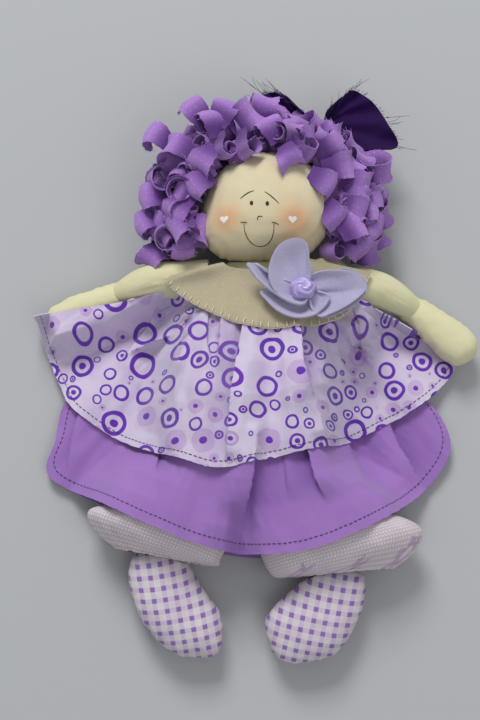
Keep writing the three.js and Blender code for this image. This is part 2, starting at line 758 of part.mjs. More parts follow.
/** Ring of the roll that the strips are tied on. */
function coreRing(bearing) {
  const { away, reach } = aroundHead(bearing);
  return Array.from({ length: hairCoreSides }, (gap, i) => {
    const turn = 2 * Math.PI * i / hairCoreSides;
    const out = reach + hairCoreOffset + Math.cos(turn) * hairCoreHalfWidth;
    const up = hairCoreHeight + Math.sin(turn) * hairCoreHalfDepth;
    return new THREE.Vector3(headHub.x + away.x * out, headHub.y + away.y * out, up);
  });
}
/** Roll round the head from cheek to cheek. */
function hairCore() {
  const steps = 28;
  return skinOverRings(Array.from({ length: steps + 1 }, (gap, i) => (
    coreRing(lerp(hairStart, hairEnd, i / steps))
  )));
}

/** Bearings that part the hair into strips of equal room round the head. */
function hairSectors(count) {
  const fine = 200;
  const spots = [];
  let run = 0;
  let last = null;
  for (let i = 0; i <= fine; i += 1) {
    const bearing = lerp(hairStart, hairEnd, i / fine);
    const { away, reach } = aroundHead(bearing);
    const spot = away.clone().multiplyScalar(reach + hairCoreOffset);
    if (last) run += spot.distanceTo(last);
    spots.push({ bearing, run });
    last = spot;
  }
  return Array.from({ length: count + 1 }, (gap, k) => (
    spots.find((spot) => spot.run >= run * k / count - weldDistance).bearing
  ));
}

/** Ribbon of even thickness along a flat curve, as a closed outline. */
function ribbonOutline(curve, steps, thickness) {
  const sides = [[], []];
  for (let i = 0; i <= steps; i += 1) {
    const point = curve.getPoint(i / steps);
    const tangent = curve.getTangent(i / steps);
    const normal = new THREE.Vector2(-tangent.y, tangent.x);
    sides[0].push(point.clone().addScaledVector(normal, thickness / 2));
    sides[1].push(point.clone().addScaledVector(normal, -thickness / 2));
  }
  return [...sides[0], ...sides[1].reverse()];
}

/** Points on a curl: middle, radius, start and end in degrees, and how far it winds in. */
function curlPoints([x, y], radius, from, to, windIn, count) {
  return Array.from({ length: count }, (gap, i) => {
    const share = i / (count - 1);
    const turn = degToRad(lerp(from, to, share));
    const reach = radius * lerp(1, windIn, share);
    return new THREE.Vector2(x + reach * Math.cos(turn), y + reach * Math.sin(turn));
  });
}

const coreFlat = hairCoreHalfDepth * Math.cos(Math.PI / hairCoreSides);
const coreRim = 2 * hairCoreOffset;
const coreFront = hairCoreHeight + coreFlat;
const coreBack = hairCoreHeight - coreFlat;
const saddleReach = 2.6;
const stripSeat = seatGap + stripThickness / 2;
/** Strip over the front of the core: a curl on the cheek side and one outside. */
function frontStrip(variant) {
  const shift = variant * curlShift;
  const lift = variant * curlLift;
  const innerMiddle = [cheekCurl.out + shift, coreFront + curlRadius + cheekCurl.clearance + lift];
  const outerMiddle = [
    coreRim + outerCurlRadius + outerCurl.clearance - shift,
    hairCoreHeight + outerCurl.rise + lift,
  ];
  const inner = curlPoints(innerMiddle, curlRadius, 330, 40 - variant * 25, 0.62, 7).reverse();
  const outer = curlPoints(outerMiddle, outerCurlRadius, 150, -150 + variant * 20, 0.6, 7);
  const saddle = [
    new THREE.Vector2(hairCoreOffset - saddleReach, coreFront + stripSeat),
    new THREE.Vector2(hairCoreOffset + saddleReach, coreFront + stripSeat),
  ];
  return new THREE.SplineCurve([...inner, ...saddle, ...outer]);
}

/** Strip round the back of the core. */
function backStrip(variant) {
  const shift = variant * curlShift;
  const outerMiddle = [
    coreRim + outerCurlRadius + backOuterCurl.clearance - shift,
    hairCoreHeight - backOuterCurl.drop,
  ];
  const innerMiddle = [backCheekCurl.out + shift, coreBack - curlRadius - backCheekCurl.clearance];
  const outer = curlPoints(outerMiddle, backCurlRadius, 205, 430, 0.6, 6).reverse();
  const inner = curlPoints(innerMiddle, curlRadius, 20, -200, 0.6, 6);
  const saddle = [
    new THREE.Vector2(hairCoreOffset + saddleReach, coreBack - stripSeat),
    new THREE.Vector2(hairCoreOffset - saddleReach, coreBack - stripSeat),
  ];
  return new THREE.SplineCurve([...outer, ...saddle, ...inner]);
}

/** Strip extruded across its own plane, splayed to fill its sector round the head. */
function placeStrip(curve, steps, [from, to], lean) {
  const shape = new THREE.Shape(ribbonOutline(curve, steps, stripThickness));
  const slab = new THREE.ExtrudeGeometry(shape, { depth: 1, bevelEnabled: false });
  const bearing = (from + to) / 2;
  const { away, reach } = aroundHead(bearing);
  const spread = Math.tan((to - from) / 2) * stripFillShare;
  const spots = slab.attributes.position;
  for (let i = 0; i < spots.count; i += 1) {
    const [out, up, side] = [spots.getX(i), spots.getY(i), 1 - 2 * spots.getZ(i)];
    const across = side * spread * (reach + out * stripSplayShare);
    const tilt = lean * across * Math.abs(out - hairCoreOffset) / hairCoreOffset;
    spots.setXYZ(
      i,
      headHub.x + away.x * (reach + out) - away.y * across,
      headHub.y + away.y * (reach + out) + away.x * across,
      up + tilt,
    );
  }
  return slab;
}

// Flower: five petals of felt, one above the other, round the button.
const flowerPlace = [0.074, 0.111];
const petalRootShare = 0.4;
const petalCrossShare = 0.15;
const flowerHub = plan(flowerPlace);
const petals = [
  {
    name: 'petal_under',
    base: [[0.12, 0.118], [0.108, 0.1], [0.088, 0.092]],
    rim: [[0.178, 0.13], [0.172, 0.092], [0.118, 0.078]],
  },
  {
    name: 'petal_front',
    base: [[0.052, 0.112], [0.07, 0.1], [0.098, 0.104]],
    rim: [[0.004, 0.113], [0.05, 0.062], [0.122, 0.1]],
  },
  {
    name: 'petal_left',
    base: [[0.093, 0.126], [0.1, 0.112], [0.098, 0.098]],
    rim: [[0.156, 0.152], [0.184, 0.122], [0.108, 0.075]],
  },
  {
    name: 'petal_right',
    base: [[0.055, 0.1], [0.05, 0.108], [0.056, 0.118]],
    rim: [[0.022, 0.098], [-0.018, 0.152], [0.03, 0.15]],
  },
  {
    name: 'petal_top',
    base: [[0.056, 0.118], [0.07, 0.126], [0.09, 0.122]],
    rim: [[0.016, 0.147], [0.06, 0.205], [0.09, 0.135]],
  },
];
/** Foot of a petal: narrowed, and carried past the flower's middle, where all of them are pinned. */
function petalRoot(base) {
  const [, middle] = base;
  return base.map((point) => point.map((value, k) => (
    flowerPlace[k] + petalRootShare * (value - middle[k]) + petalCrossShare * (flowerPlace[k] - middle[k])
  )));
}

const flowerLow = gridded((x, y) => {
  const away = Math.hypot(x - flowerHub.x, y - flowerHub.y);
  const head = headTopAt(x, y) + drapeClearance + feltThickness;
  const chest = collarHeightAtHub + away * away * flowerDish;
  return Math.max(softMax(chest, head, petalRound), collarTop(x, y));
});
/** Height of the face, or zero beside it. */
function headTopAt(x, y) {
  const { reach } = aroundHead(Math.atan2(y - headHub.y, x - headHub.x));
  const share = Math.hypot(x - headHub.x, y - headHub.y) / reach;
  if (share >= 1) return 0;
  return headMiddle + headHalfDepth * (1 - share ** formPower) ** (1 / formPower);
}

// The flower lies on both layers of the collar.
const collarRaise = feltThickness + layerGap;
const collarLayers = collarRaise + feltThickness + layerGap;
const collarTop = (x, y) => collarLow(x, y) + uprightThickness(collarLow, x, y, collarLayers);
const collarHeightAtHub = collarTop(flowerHub.x, flowerHub.y);

/** Button turned in the shape of a rose. */
function roseButton() {
  const stack = petals.length * petalLift - layerGap;
  const petalTop = uprightThickness(flowerLow, flowerHub.x, flowerHub.y, stack);
  const base = flowerLow(flowerHub.x, flowerHub.y) + petalTop + buttonClearance;
  const profile = [
    [0, 0], [0.72, 0], [0.98, 0.16], [1, 0.36], [0.86, 0.56], [0.8, 0.5],
    [0.66, 0.8], [0.58, 0.74], [0.4, 0.96], [0.3, 0.9], [0, 1],
  ];
  const points = profile.map(([r, h]) => new THREE.Vector2(r * buttonHalfWidth, h * buttonHeight));
  const button = new THREE.LatheGeometry(points, 20);
  button.rotateX(Math.PI / 2);
  button.scale(1, buttonHalfLength / buttonHalfWidth, 1);
  button.translate(flowerHub.x, flowerHub.y, base);
  return button;
}

// Bow: two pleated wings and a knot, set behind the top of the hair.
const bowHub = plan([0.1028, 0.4309]);
/** Pleated wing between its narrow root and its wide end. */
function bowWing({ near, far, pleatCount }) {
  const nearCurve = planCurve(near);
  const farCurve = planCurve(far);
  const [rows, columns] = [5, 20];
  const grid = (lift) => Array.from({ length: rows + 1 }, (gapR, r) => (
    Array.from({ length: columns + 1 }, (gapC, c) => {
      const [along, share] = [r / rows, c / columns];
      const spot = nearCurve.getPoint(share).lerp(farCurve.getPoint(share), along);
      const wave = Math.sin(share * Math.PI * 2 * pleatCount) * bowPleat * lerp(0.25, 1, along);
      return new THREE.Vector3(spot.x, spot.y, bowHeight + wave + bowRise * along ** 3 + lift);
    })
  ));
  return skinOverSheet(grid(0), grid(bowThickness));
}
const bowWings = {
  bow_wing_left: {
    near: [[0.1226, 0.4119], [0.1246, 0.4269], [0.1176, 0.4439]],
    far: [[0.205, 0.386], [0.243, 0.392], [0.227, 0.438], [0.194, 0.475], [0.161, 0.49]],
    pleatCount: 3.5,
  },
  bow_wing_right: {
    near: [[0.0936, 0.4519], [0.0856, 0.4419], [0.0826, 0.4279]],
    far: [[0.03, 0.503], [0.002, 0.49], [0.006, 0.462]],
    pleatCount: 2.5,
  },
};
/** Flattened knot between the wings. */
function bowKnot() {
  const knot = new THREE.SphereGeometry(bowKnotRadius, 14, 8);
  knot.scale(1, 1, bowKnotFlatShare);
  knot.translate(bowHub.x, bowHub.y, bowHeight);
  return knot;
}

const nodes = [];
/** Add one named piece with its own material. */
function piece(name, geometry, colour, roughness = 0.9) {
  const material = new THREE.MeshStandardMaterial({ color: colour, roughness, metalness: 0 });
  const mesh = new THREE.Mesh(geometry, material);
  mesh.name = name;
  nodes.push(mesh);
}

const armBalls = [armLeft.build(seatGap), armRight.build(seatGap)];
const headSolid = pillow(headOutline, headShape);
const headCutter = pillow(headOutline, { ...headShape, halfDepth: headHalfDepth + seatGap });
piece('head', headSolid, colours.skin);
piece('torso', carve(torso.build(), [...armBalls, headCutter]), colours.skin);
piece('arm_left', armLeft.build(), colours.limb);
piece('arm_right', armRight.build(), colours.limb);
piece('hips', carve(hips.build(), [legLeft.build(seatGap), legRight.build(seatGap)]), colours.limb);
piece('leg_left', legLeft.build(), colours.limb);
piece('leg_right', legRight.build(), colours.limb);
piece('foot_left', foot(footLeftOutline, footLeftHub, legLeft), colours.gingham);
piece('foot_right', foot(footRightOutline, footRightHub, legRight), colours.gingham);
piece('bloomers_waistband', clothSleeve(formRows(waistRows), bodySides), colours.bloomers);
piece('bloomers_seat', clothSleeve(formRows(seatRows), bodySides), colours.bloomers);
piece('bloomers_leg_left', clothSleeve(sleeveRowsLeft, bodySides), colours.bloomers);
piece('bloomers_leg_right', clothSleeve(sleeveRowsRight, bodySides), colours.bloomers);
const backFloor = cottonThickness + seatGap;
const skirts = [
  { name: 'underskirt', inner: underGather, outer: underHem, base: backFloor, low: underLow },
  { name: 'overskirt', inner: overGather, outer: overHem, base: 0, low: overLow },
];
for (const { name, inner, outer, base, low } of skirts) {
  const front = { inner, outer, columns: 56, rows: 9, low, thickness: cottonThickness };
  piece(`${name}_back`, flatPanel({ inner, outer, columns: 28, base }), colours[name]);
  piece(`${name}_front`, drapedSheet(front), colours[name]);
}
const collarSheet = { inner: collarNeck, outer: collarEdge, low: collarLow, thickness: feltThickness };
piece('collar_lap', drapedSheet({
  ...collarSheet, span: [0, collarLapShares[1]], columns: 22, rows: 5, raise: collarRaise,
}), colours.felt);
piece('collar_under', drapedSheet({
  ...collarSheet, span: [collarLapShares[0], 1], columns: 12, rows: 5,
}), colours.felt);
piece('collar_back', flatPanel({
  inner: collarBackNeck, outer: collarBackEdge, columns: 20, base: backFloor, thickness: feltThickness,
}), colours.felt);
petals.forEach(({ name, base, rim }, level) => {
  const shape = { inner: petalRoot(base), outer: rim, columns: 10, rows: 5, low: flowerLow };
  piece(name, drapedSheet({ ...shape, thickness: petalThickness, raise: level * petalLift }), colours.petal);
});
piece('rose_button', roseButton(), colours.button, 0.25);
piece('hair_core', hairCore(), colours.hairShade);
const frontSectors = hairSectors(frontStripCount);
for (let i = 0; i < frontStripCount; i += 1) {
  const lean = i % 2 ? stripLean : -stripLean;
  const strip = placeStrip(frontStrip((i * 2 % 3) / 2), 17, [frontSectors[i], frontSectors[i + 1]], lean);
  piece(`hair_front_${i + 1}`, strip, colours.hair);
}
// The bow takes the place of the back strips at the top of the head.
const backSectors = hairSectors(backStripCount);
for (let i = 0; i < backStripCount; i += 1) {
  const middle = THREE.MathUtils.radToDeg((backSectors[i] + backSectors[i + 1]) / 2);
  if (middle > bowSector[0] && middle < bowSector[1]) continue;
  const strip = placeStrip(backStrip((i % 2) / 2), 15, [backSectors[i], backSectors[i + 1]], 0);
  piece(`hair_back_${i + 1}`, strip, colours.hair);
}

for (const [name, wing] of Object.entries(bowWings)) piece(name, bowWing(wing), colours.bow);
piece('bow_knot', bowKnot(), colours.bow);

// Origin on the table under the middle of the part's box.
const box = new THREE.Box3();
for (const { geometry } of nodes) {
  geometry.computeBoundingBox();
  box.union(geometry.boundingBox);
}
const middle = box.getCenter(new THREE.Vector3());
const doll = new THREE.Group();
doll.name = 'rag_doll';
for (const mesh of nodes) {
  mesh.geometry.translate(-middle.x, -middle.y, -box.min.z);
  doll.add(mesh);
}

export default doll;
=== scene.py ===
"""Rag doll lying on its back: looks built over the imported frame.

Lengths in this script are millimetres in the frame's own coordinates, and are
turned into metres where a mesh is made. Cloth coordinates (UV) are metres, so
that one weave or print keeps its real size on every piece.
"""

import logging
import math
import random
from dataclasses import dataclass
from enum import Enum
from typing import Callable, Optional, Sequence

import bmesh
import bpy
import numpy as np
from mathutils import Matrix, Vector, noise
from mathutils.bvhtree import BVHTree


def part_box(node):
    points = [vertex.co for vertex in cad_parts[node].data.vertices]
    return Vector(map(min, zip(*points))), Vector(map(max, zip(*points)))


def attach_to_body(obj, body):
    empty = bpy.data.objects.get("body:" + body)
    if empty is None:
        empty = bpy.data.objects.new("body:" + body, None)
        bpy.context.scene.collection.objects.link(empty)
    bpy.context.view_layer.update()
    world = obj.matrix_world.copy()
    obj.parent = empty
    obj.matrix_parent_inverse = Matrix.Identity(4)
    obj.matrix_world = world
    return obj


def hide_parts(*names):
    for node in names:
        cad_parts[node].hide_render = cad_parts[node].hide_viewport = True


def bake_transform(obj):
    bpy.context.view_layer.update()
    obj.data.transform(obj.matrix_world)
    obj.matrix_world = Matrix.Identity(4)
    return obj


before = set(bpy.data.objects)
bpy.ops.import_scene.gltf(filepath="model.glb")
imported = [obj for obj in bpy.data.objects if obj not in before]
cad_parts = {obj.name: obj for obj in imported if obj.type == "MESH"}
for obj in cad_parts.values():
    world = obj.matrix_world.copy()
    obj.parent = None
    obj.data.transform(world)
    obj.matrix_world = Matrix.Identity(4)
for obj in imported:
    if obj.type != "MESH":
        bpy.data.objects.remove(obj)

logging.basicConfig(level=logging.INFO, format="%(name)s: %(message)s")
log = logging.getLogger("doll")

MM = 0.001
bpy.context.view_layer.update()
LENGTH = 360.0
SHIFT = np.array([1.081, 2.443])
SEED = 20
FOLD_SHARE = 0.8
HARD = 0.01
RING_SOFT = 0.35
COTTON = 0.7
FELT_THICK = 1.7
BACK_FELT_THICK = 1.6
PETAL_THICK = 1.3
FELT_BEVEL = 0.35
THIN_FELT_BEVEL = 0.3
STRIP_THICK = 0.5
THREAD_RADIUS = 0.13
HEM_THREAD = 0.24
CUFF_THREAD = 0.22
EDGE_THREAD = 0.36
BITE_THREAD = 0.4
BITE_GAP = 5.7
COLLAR_GRID = (22, 110)
BACK_COLLAR_GRID = (8, 60)
PETAL_GRID = (16, 48)
LEG_GRID = (44, 168)
BELT_GRID = (14, 120)
SEAT_GRID = (30, 120)
SEAM_DEPTH = 0.7
INK_RISE = 0.22
FOLD_LEAN = 0.34
FOLD_DROP = 2.4
FOLD_LEVEL = 52.0
FRONT_GRID = (84, 300)
BACK_GRID = (12, 140)
SQUARENESS = 1 / 1.1
RING_SIZES = ((1.0, 0.0, 0.8, 0.34), (1.6, 41.0, 0.6, 0.34), (2.7, 97.0, 0.42, 0.5))

Array = np.ndarray
Points = Sequence[Sequence[float]]
Laid = list[list[tuple[Array, Array, float]]]


# Finishes and shared shader groups.


class Print(Enum):
    """Pattern printed or woven into a cloth."""

    PLAIN = "plain"
    SPECKS = "specks"
    RINGS = "rings"
    GINGHAM = "gingham"
    SPRIGS = "sprigs"
    FELT = "felt"
    GLOSS = "gloss"
    THREAD = "thread"
    FACE = "face"


@dataclass(frozen=True)
class Finish:
    """Look of one material.

    Attributes:
        slot: Material slot of the record.
        ground: Main colour, as sRGB from 0 to 255.
        accent: Print or shadow colour.
        pale: Lightest colour of the print.
        kind: Pattern.
        pitch: Size of the pattern's repeat in millimetres.
        thread: Width of one thread of the weave in millimetres.
        roughness: Mean roughness.
        sheen: Weight of the soft sheen of fibres.
        mottle: Share by which colour drifts over the piece.
        deep: Colour of the painted shade in the folds' hollows and, on the hair, near the ties, inside rolls
            and low down.
    """

    slot: str
    ground: tuple[int, int, int]
    accent: tuple[int, int, int] = (120, 90, 150)
    pale: tuple[int, int, int] = (240, 238, 240)
    kind: Print = Print.PLAIN
    pitch: float = 7.0
    thread: float = 0.42
    roughness: float = 0.86
    sheen: float = 0.25
    mottle: float = 0.10
    deep: tuple[int, int, int] = (110, 84, 128)


class Cloth(Enum):
    """Every material of the doll."""

    FACE = Finish("face_cotton", (221, 213, 178), (224, 158, 112), kind=Print.FACE, mottle=0.07)
    SKIN = Finish("skin_cotton", (223, 220, 178), (206, 198, 150), mottle=0.08)
    GINGHAM = Finish("gingham", (222, 215, 216), (140, 106, 174), (208, 195, 210), Print.GINGHAM, 7.0)
    BLOOMER = Finish("bloomer_check", (208, 196, 202), (160, 116, 170), (236, 228, 228), Print.SPRIGS, 2.1)
    # Its deep colour is painted shade for the underskirt's fold hollows.
    LILAC = Finish("lilac_cotton", (164, 122, 194), (128, 84, 168), mottle=0.1, deep=(92, 46, 134))
    RINGS = Finish(
        "ring_print_cotton", (219, 207, 228), (104, 50, 174), (206, 182, 218), Print.RINGS, 19.5,
        # Painted shade colour for the overskirt's fold hollows.
        deep=(150, 126, 172),
    )
    FELT = Finish("beige_felt", (186, 176, 148), (154, 144, 114), kind=Print.FELT, sheen=0.4, mottle=0.12)
    PETAL = Finish("petal_felt", (182, 177, 205), (144, 138, 178), kind=Print.FELT, sheen=0.4, mottle=0.12)
    BUTTON = Finish(
        "rose_button", (186, 170, 224), (140, 118, 190), kind=Print.GLOSS, roughness=0.22, sheen=0.0
    )
    HAIR = Finish(
        "hair_strips", (174, 130, 205), (124, 72, 168), (240, 234, 244), Print.SPECKS, 4.2,
        # Painted shade colour near the strips' ties, inside rolls and low in the hair.
        deep=(66, 14, 106),
    )
    # Painted shade: the core is coloured dark so that the gaps between the strips read as deep shadow.
    CORE = Finish("hair_strips", (70, 26, 106), (48, 14, 78), (120, 90, 160), Print.SPECKS, 4.2)
    BOW = Finish("bow_cotton", (38, 4, 72), (20, 1, 42), mottle=0.2, sheen=0.03)
    HEM = Finish("lilac_cotton", (58, 34, 84), (34, 18, 56), kind=Print.THREAD)
    CREAM_THREAD = Finish("beige_felt", (226, 219, 192), (196, 186, 152), kind=Print.THREAD)
    SKIN_THREAD = Finish("skin_cotton", (206, 198, 156), (176, 166, 124), kind=Print.THREAD)
    INK = Finish("face_cotton", (46, 42, 30), (24, 22, 14), kind=Print.THREAD, roughness=0.7)
    HEART = Finish("face_cotton", (244, 243, 238), (220, 218, 210), kind=Print.THREAD)
    BOW_THREAD = Finish("bow_cotton", (34, 8, 54), (20, 2, 34), kind=Print.THREAD)
    HAIR_THREAD = Finish("hair_strips", (190, 156, 216), (150, 110, 190), kind=Print.THREAD)


def linear(colour: Sequence[int]) -> tuple[float, float, float, float]:
    """Scene-linear colour of an sRGB one.

    Args:
        colour: Red, green and blue from 0 to 255.

    Returns:
        Red, green, blue and alpha from 0 to 1.
    """
    shares = [channel / 255 for channel in colour[:3]]
    turned = [s / 12.92 if s <= 0.04045 else ((s + 0.055) / 1.055) ** 2.4 for s in shares]
    return (*turned, 1.0)


class Graph:
    """Adds and links the nodes of one shader tree."""

    def __init__(self, tree: bpy.types.NodeTree) -> None:
        """Keeps the tree.

        Args:
            tree: The shader tree.
        """
        self.tree = tree

    def add(self, kind: str, sockets: Optional[dict] = None, **settings: object) -> bpy.types.Node:
        """Adds a node.

        Args:
            kind: Node type without its ShaderNode prefix.
            sockets: What its inputs get, by name or number.
            **settings: Properties of the node.

        Returns:
            The node.
        """
        node = self.tree.nodes.new("ShaderNode" + kind)
        for name, value in settings.items():
            setattr(node, name, value)
        self.feed(node, sockets or {})
        return node

    def feed(self, node: bpy.types.Node, sockets: dict) -> None:
        """Links inputs of a node to other sockets, or sets their values.

        Args:
            node: The node.
            sockets: Output socket, number or vector of each input, by its name or number.
        """
        for key, value in sockets.items():
            if isinstance(value, bpy.types.NodeSocket):
                self.tree.links.new(value, node.inputs[key])
            else:
                node.inputs[key].default_value = value

    def math(self, operation: str, *values: object, clamp: bool = False) -> bpy.types.NodeSocket:
        """Adds a math node.

        Args:
            operation: Name of the operation.
            *values: Its inputs.
            clamp: Keeps the result from 0 to 1.

        Returns:
            The result's socket.
        """
        return self.add("Math", dict(enumerate(values)), operation=operation, use_clamp=clamp).outputs[0]

    def vector(self, operation: str, *values: object) -> bpy.types.NodeSocket:
        """Adds a vector math node.

        Args:
            operation: Name of the operation.
            *values: Its inputs.

        Returns:
            The result's socket.
        """
        return self.add("VectorMath", dict(enumerate(values)), operation=operation).outputs[0]

    def noise(self, vector: object, scale: float, detail: float, **more: float) -> bpy.types.Node:
        """Adds a noise texture.

        Args:
            vector: Its coordinates.
            scale: Swells per unit.
            detail: Number of octaves.
            **more: Its other inputs.

        Returns:
            The node.
        """
        others = {label.capitalize(): value for label, value in more.items()}
        return self.add("TexNoise", {"Vector": vector, "Scale": scale, "Detail": detail, **others})

    def blend(self, factor: object, low: object, high: object, mode: str = "MIX") -> bpy.types.NodeSocket:
        """Mixes two colours.

        Args:
            factor: Share of the second colour.
            low: First colour.
            high: Second colour.
            mode: Blend mode.

        Returns:
            The mixed colour's socket.
        """
        return self.add("Mix", {0: factor, 6: low, 7: high}, data_type="RGBA", blend_type=mode).outputs[2]

    def step(self, value: object, edge: float, soft: float) -> bpy.types.NodeSocket:
        """Share that rises from 0 to 1 round an edge.

        Args:
            value: Input.
            edge: Place of the rise.
            soft: Width of the rise.

        Returns:
            The share's socket.
        """
        sockets = dict(enumerate((value, edge - soft / 2, edge + soft / 2, 0.0, 1.0)))
        return self.add("MapRange", sockets, interpolation_type="SMOOTHSTEP").outputs[0]


def new_group(name: str, numbers: dict[str, float], outputs: Sequence[str]) -> tuple:
    """Starts a shared node group that reads cloth coordinates.

    Args:
        name: Name of the group.
        numbers: Default of each number that it takes.
        outputs: Names of the numbers that it gives.

    Returns:
        The group's tree, its graph, the sockets that it is given, and its end node.
    """
    tree = bpy.data.node_groups.new(name, "ShaderNodeTree")
    tree.interface.new_socket("Vector", in_out="INPUT", socket_type="NodeSocketVector")
    for label, default in numbers.items():
        socket = tree.interface.new_socket(label, in_out="INPUT", socket_type="NodeSocketFloat")
        socket.default_value = default
    for label in outputs:
        tree.interface.new_socket(label, in_out="OUTPUT", socket_type="NodeSocketFloat")
    start, end = tree.nodes.new("NodeGroupInput"), tree.nodes.new("NodeGroupOutput")
    return tree, Graph(tree), start.outputs, end


def weave_group() -> bpy.types.NodeTree:
    """Plain weave of uneven threads.

    Returns:
        Group with a height, and a shade from 0 to 1 that leaves the low threads in painted shade.
    """
    tree, graph, given, end = new_group("Weave", {"Thread": 0.42}, ("Height", "Shade"))
    wobble = graph.noise(given["Vector"], 0.35, 2.0)
    bent = graph.vector("MULTIPLY_ADD", wobble.outputs["Color"], (0.9, 0.9, 0.9), given["Vector"])
    split = graph.add("SeparateXYZ", {0: bent})
    turn = graph.math("DIVIDE", math.pi, given["Thread"])
    waves = [graph.math("SINE", graph.math("MULTIPLY", split.outputs[axis], turn)) for axis in (0, 1)]
    crossing = graph.math("MULTIPLY", *waves)
    fibre = graph.noise(given["Vector"], 2.6, 4.0)
    height = graph.math("ADD", graph.math("MULTIPLY", crossing, 0.5), fibre.outputs["Fac"])
    graph.feed(end, {"Height": height, "Shade": graph.step(height, 0.45, 1.3)})
    return tree


def mottle_group() -> bpy.types.NodeTree:
    """Slow drift of colour, as from washing and handling.

    Returns:
        Group with a share from 0 to 1.
    """
    tree, graph, given, end = new_group("Mottle", {}, ("Share",))
    slow = graph.noise(given["Vector"], 0.045, 5.0, roughness=0.62)
    graph.feed(end, {"Share": graph.step(slow.outputs["Fac"], 0.5, 0.5)})
    return tree


def fibre_group() -> bpy.types.NodeTree:
    """Matted fibres of felt.

    Returns:
        Group with a height, and a shade from 0 to 1 that leaves the low fibres in painted shade.
    """
    tree, graph, given, end = new_group("Fibres", {}, ("Height", "Shade"))
    fine = graph.noise(given["Vector"], 1.5, 6.0, distortion=1.2)
    strands = graph.add("TexVoronoi", {"Vector": given["Vector"], "Scale": 0.9}, feature="DISTANCE_TO_EDGE")
    height = graph.math("ADD", fine.outputs["Fac"], graph.math("MULTIPLY", strands.outputs["Distance"], 0.35))
    graph.feed(end, {"Height": height, "Shade": graph.step(height, 0.62, 0.5)})
    return tree


def gingham_group() -> bpy.types.NodeTree:
    """Woven check of two thread colours.

    Returns:
        Group with the shares of stripe and of full square.
    """
    tree, graph, given, end = new_group("Gingham", {"Pitch": 7.0, "Duty": 0.46}, ("Stripe", "Square"))
    split = graph.add("SeparateXYZ", {0: given["Vector"]})
    bands = []
    for axis in (0, 1):
        place = graph.math("FRACT", graph.math("DIVIDE", split.outputs[axis], given["Pitch"]))
        centred = graph.math("ABSOLUTE", graph.math("SUBTRACT", place, 0.5))
        inside = graph.math("SUBTRACT", graph.math("MULTIPLY", given["Duty"], 0.5), centred)
        bands.append(graph.step(inside, 0.0, 0.07))
    graph.feed(end, {"Stripe": graph.math("MAXIMUM", *bands), "Square": graph.math("MULTIPLY", *bands)})
    return tree


def spots_at(graph: Graph, place: object, pitch: object, scale: float, shift: float) -> tuple:
    """Scattered discs that never touch one another, looked up at a place.

    Args:
        graph: Graph of the group.
        place: Cloth coordinates in millimetres.
        pitch: Spacing of the largest discs in millimetres.
        scale: How many times closer these discs lie.
        shift: Offset of their scatter in millimetres.

    Returns:
        Distance from the nearest disc's middle and its radius, both in
        millimetres, its three chances, and its middle.
    """
    offset = (shift, shift * 0.7, 0.0)
    density = graph.math("DIVIDE", scale, pitch)
    sockets = {"Vector": graph.vector("ADD", place, offset), "Scale": density, "Randomness": 0.6}
    nearest, room = [
        graph.add("TexVoronoi", sockets, voronoi_dimensions="2D", feature=feature)
        for feature in ("F1", "N_SPHERE_RADIUS")
    ]
    chance = graph.add("SeparateColor", {0: nearest.outputs["Color"]})
    share = graph.math("MULTIPLY_ADD", chance.outputs[0], 0.3, 0.67)
    radius = graph.math("DIVIDE", graph.math("MULTIPLY", room.outputs["Radius"], share), density)
    distance = graph.math("DIVIDE", nearest.outputs["Distance"], density)
    return distance, radius, chance.outputs, graph.vector("SUBTRACT", nearest.outputs["Position"], offset)


def rings_group() -> bpy.types.NodeTree:
    """Scattered rings with dots in them, pale discs and small spots.

    Returns:
        Group with the shares of dark print and of pale print.
    """
    tree, graph, given, end = new_group("RingPrint", {"Pitch": 19.0}, ("Dark", "Pale"))
    drift = graph.noise(given["Vector"], 0.1, 1.0)
    place = graph.vector("MULTIPLY_ADD", drift.outputs["Color"], (2.2, 2.2, 0.0), given["Vector"])
    pitch = given["Pitch"]
    dark: object = 0.0
    pale: object = 0.0
    larger: list[tuple[float, float]] = []
    for scale, shift, dark_share, wall in RING_SIZES:
        distance, radius, chance, middle = spots_at(graph, place, pitch, scale, shift)
        shown: object = 1.0
        for other in larger:
            away, reach, _, _ = spots_at(graph, middle, pitch, *other)
            gap = graph.math("SUBTRACT", away, graph.math("ADD", reach, radius))
            shown = graph.math("MULTIPLY", shown, graph.step(gap, RING_SOFT, HARD))
        larger.append((scale, shift))
        rim = graph.math("SUBTRACT", radius, distance)
        disc = graph.step(rim, 0.0, RING_SOFT)
        hole, core = [
            graph.step(graph.math("SUBTRACT", rim, graph.math("MULTIPLY", radius, inset)), 0.0, RING_SOFT)
            for inset in (wall, 0.68)
        ]
        has_core = graph.step(chance[2], 0.36, HARD)
        is_pale = graph.step(chance[1], dark_share, HARD)
        is_dark = graph.math("SUBTRACT", 1.0, is_pale)
        ring = graph.math("SUBTRACT", disc, hole, clamp=True)
        dot = graph.math("MULTIPLY", core, graph.math("MAXIMUM", has_core, is_pale))
        shape = graph.math("MAXIMUM", graph.math("MULTIPLY", ring, is_dark), dot)
        dark = graph.math("MAXIMUM", dark, graph.math("MULTIPLY", shape, shown))
        pale_disc = graph.math("MULTIPLY", graph.math("MULTIPLY", disc, is_pale), shown)
        pale = graph.math("MAXIMUM", pale, pale_disc)
    graph.feed(end, {"Dark": dark, "Pale": pale})
    return tree


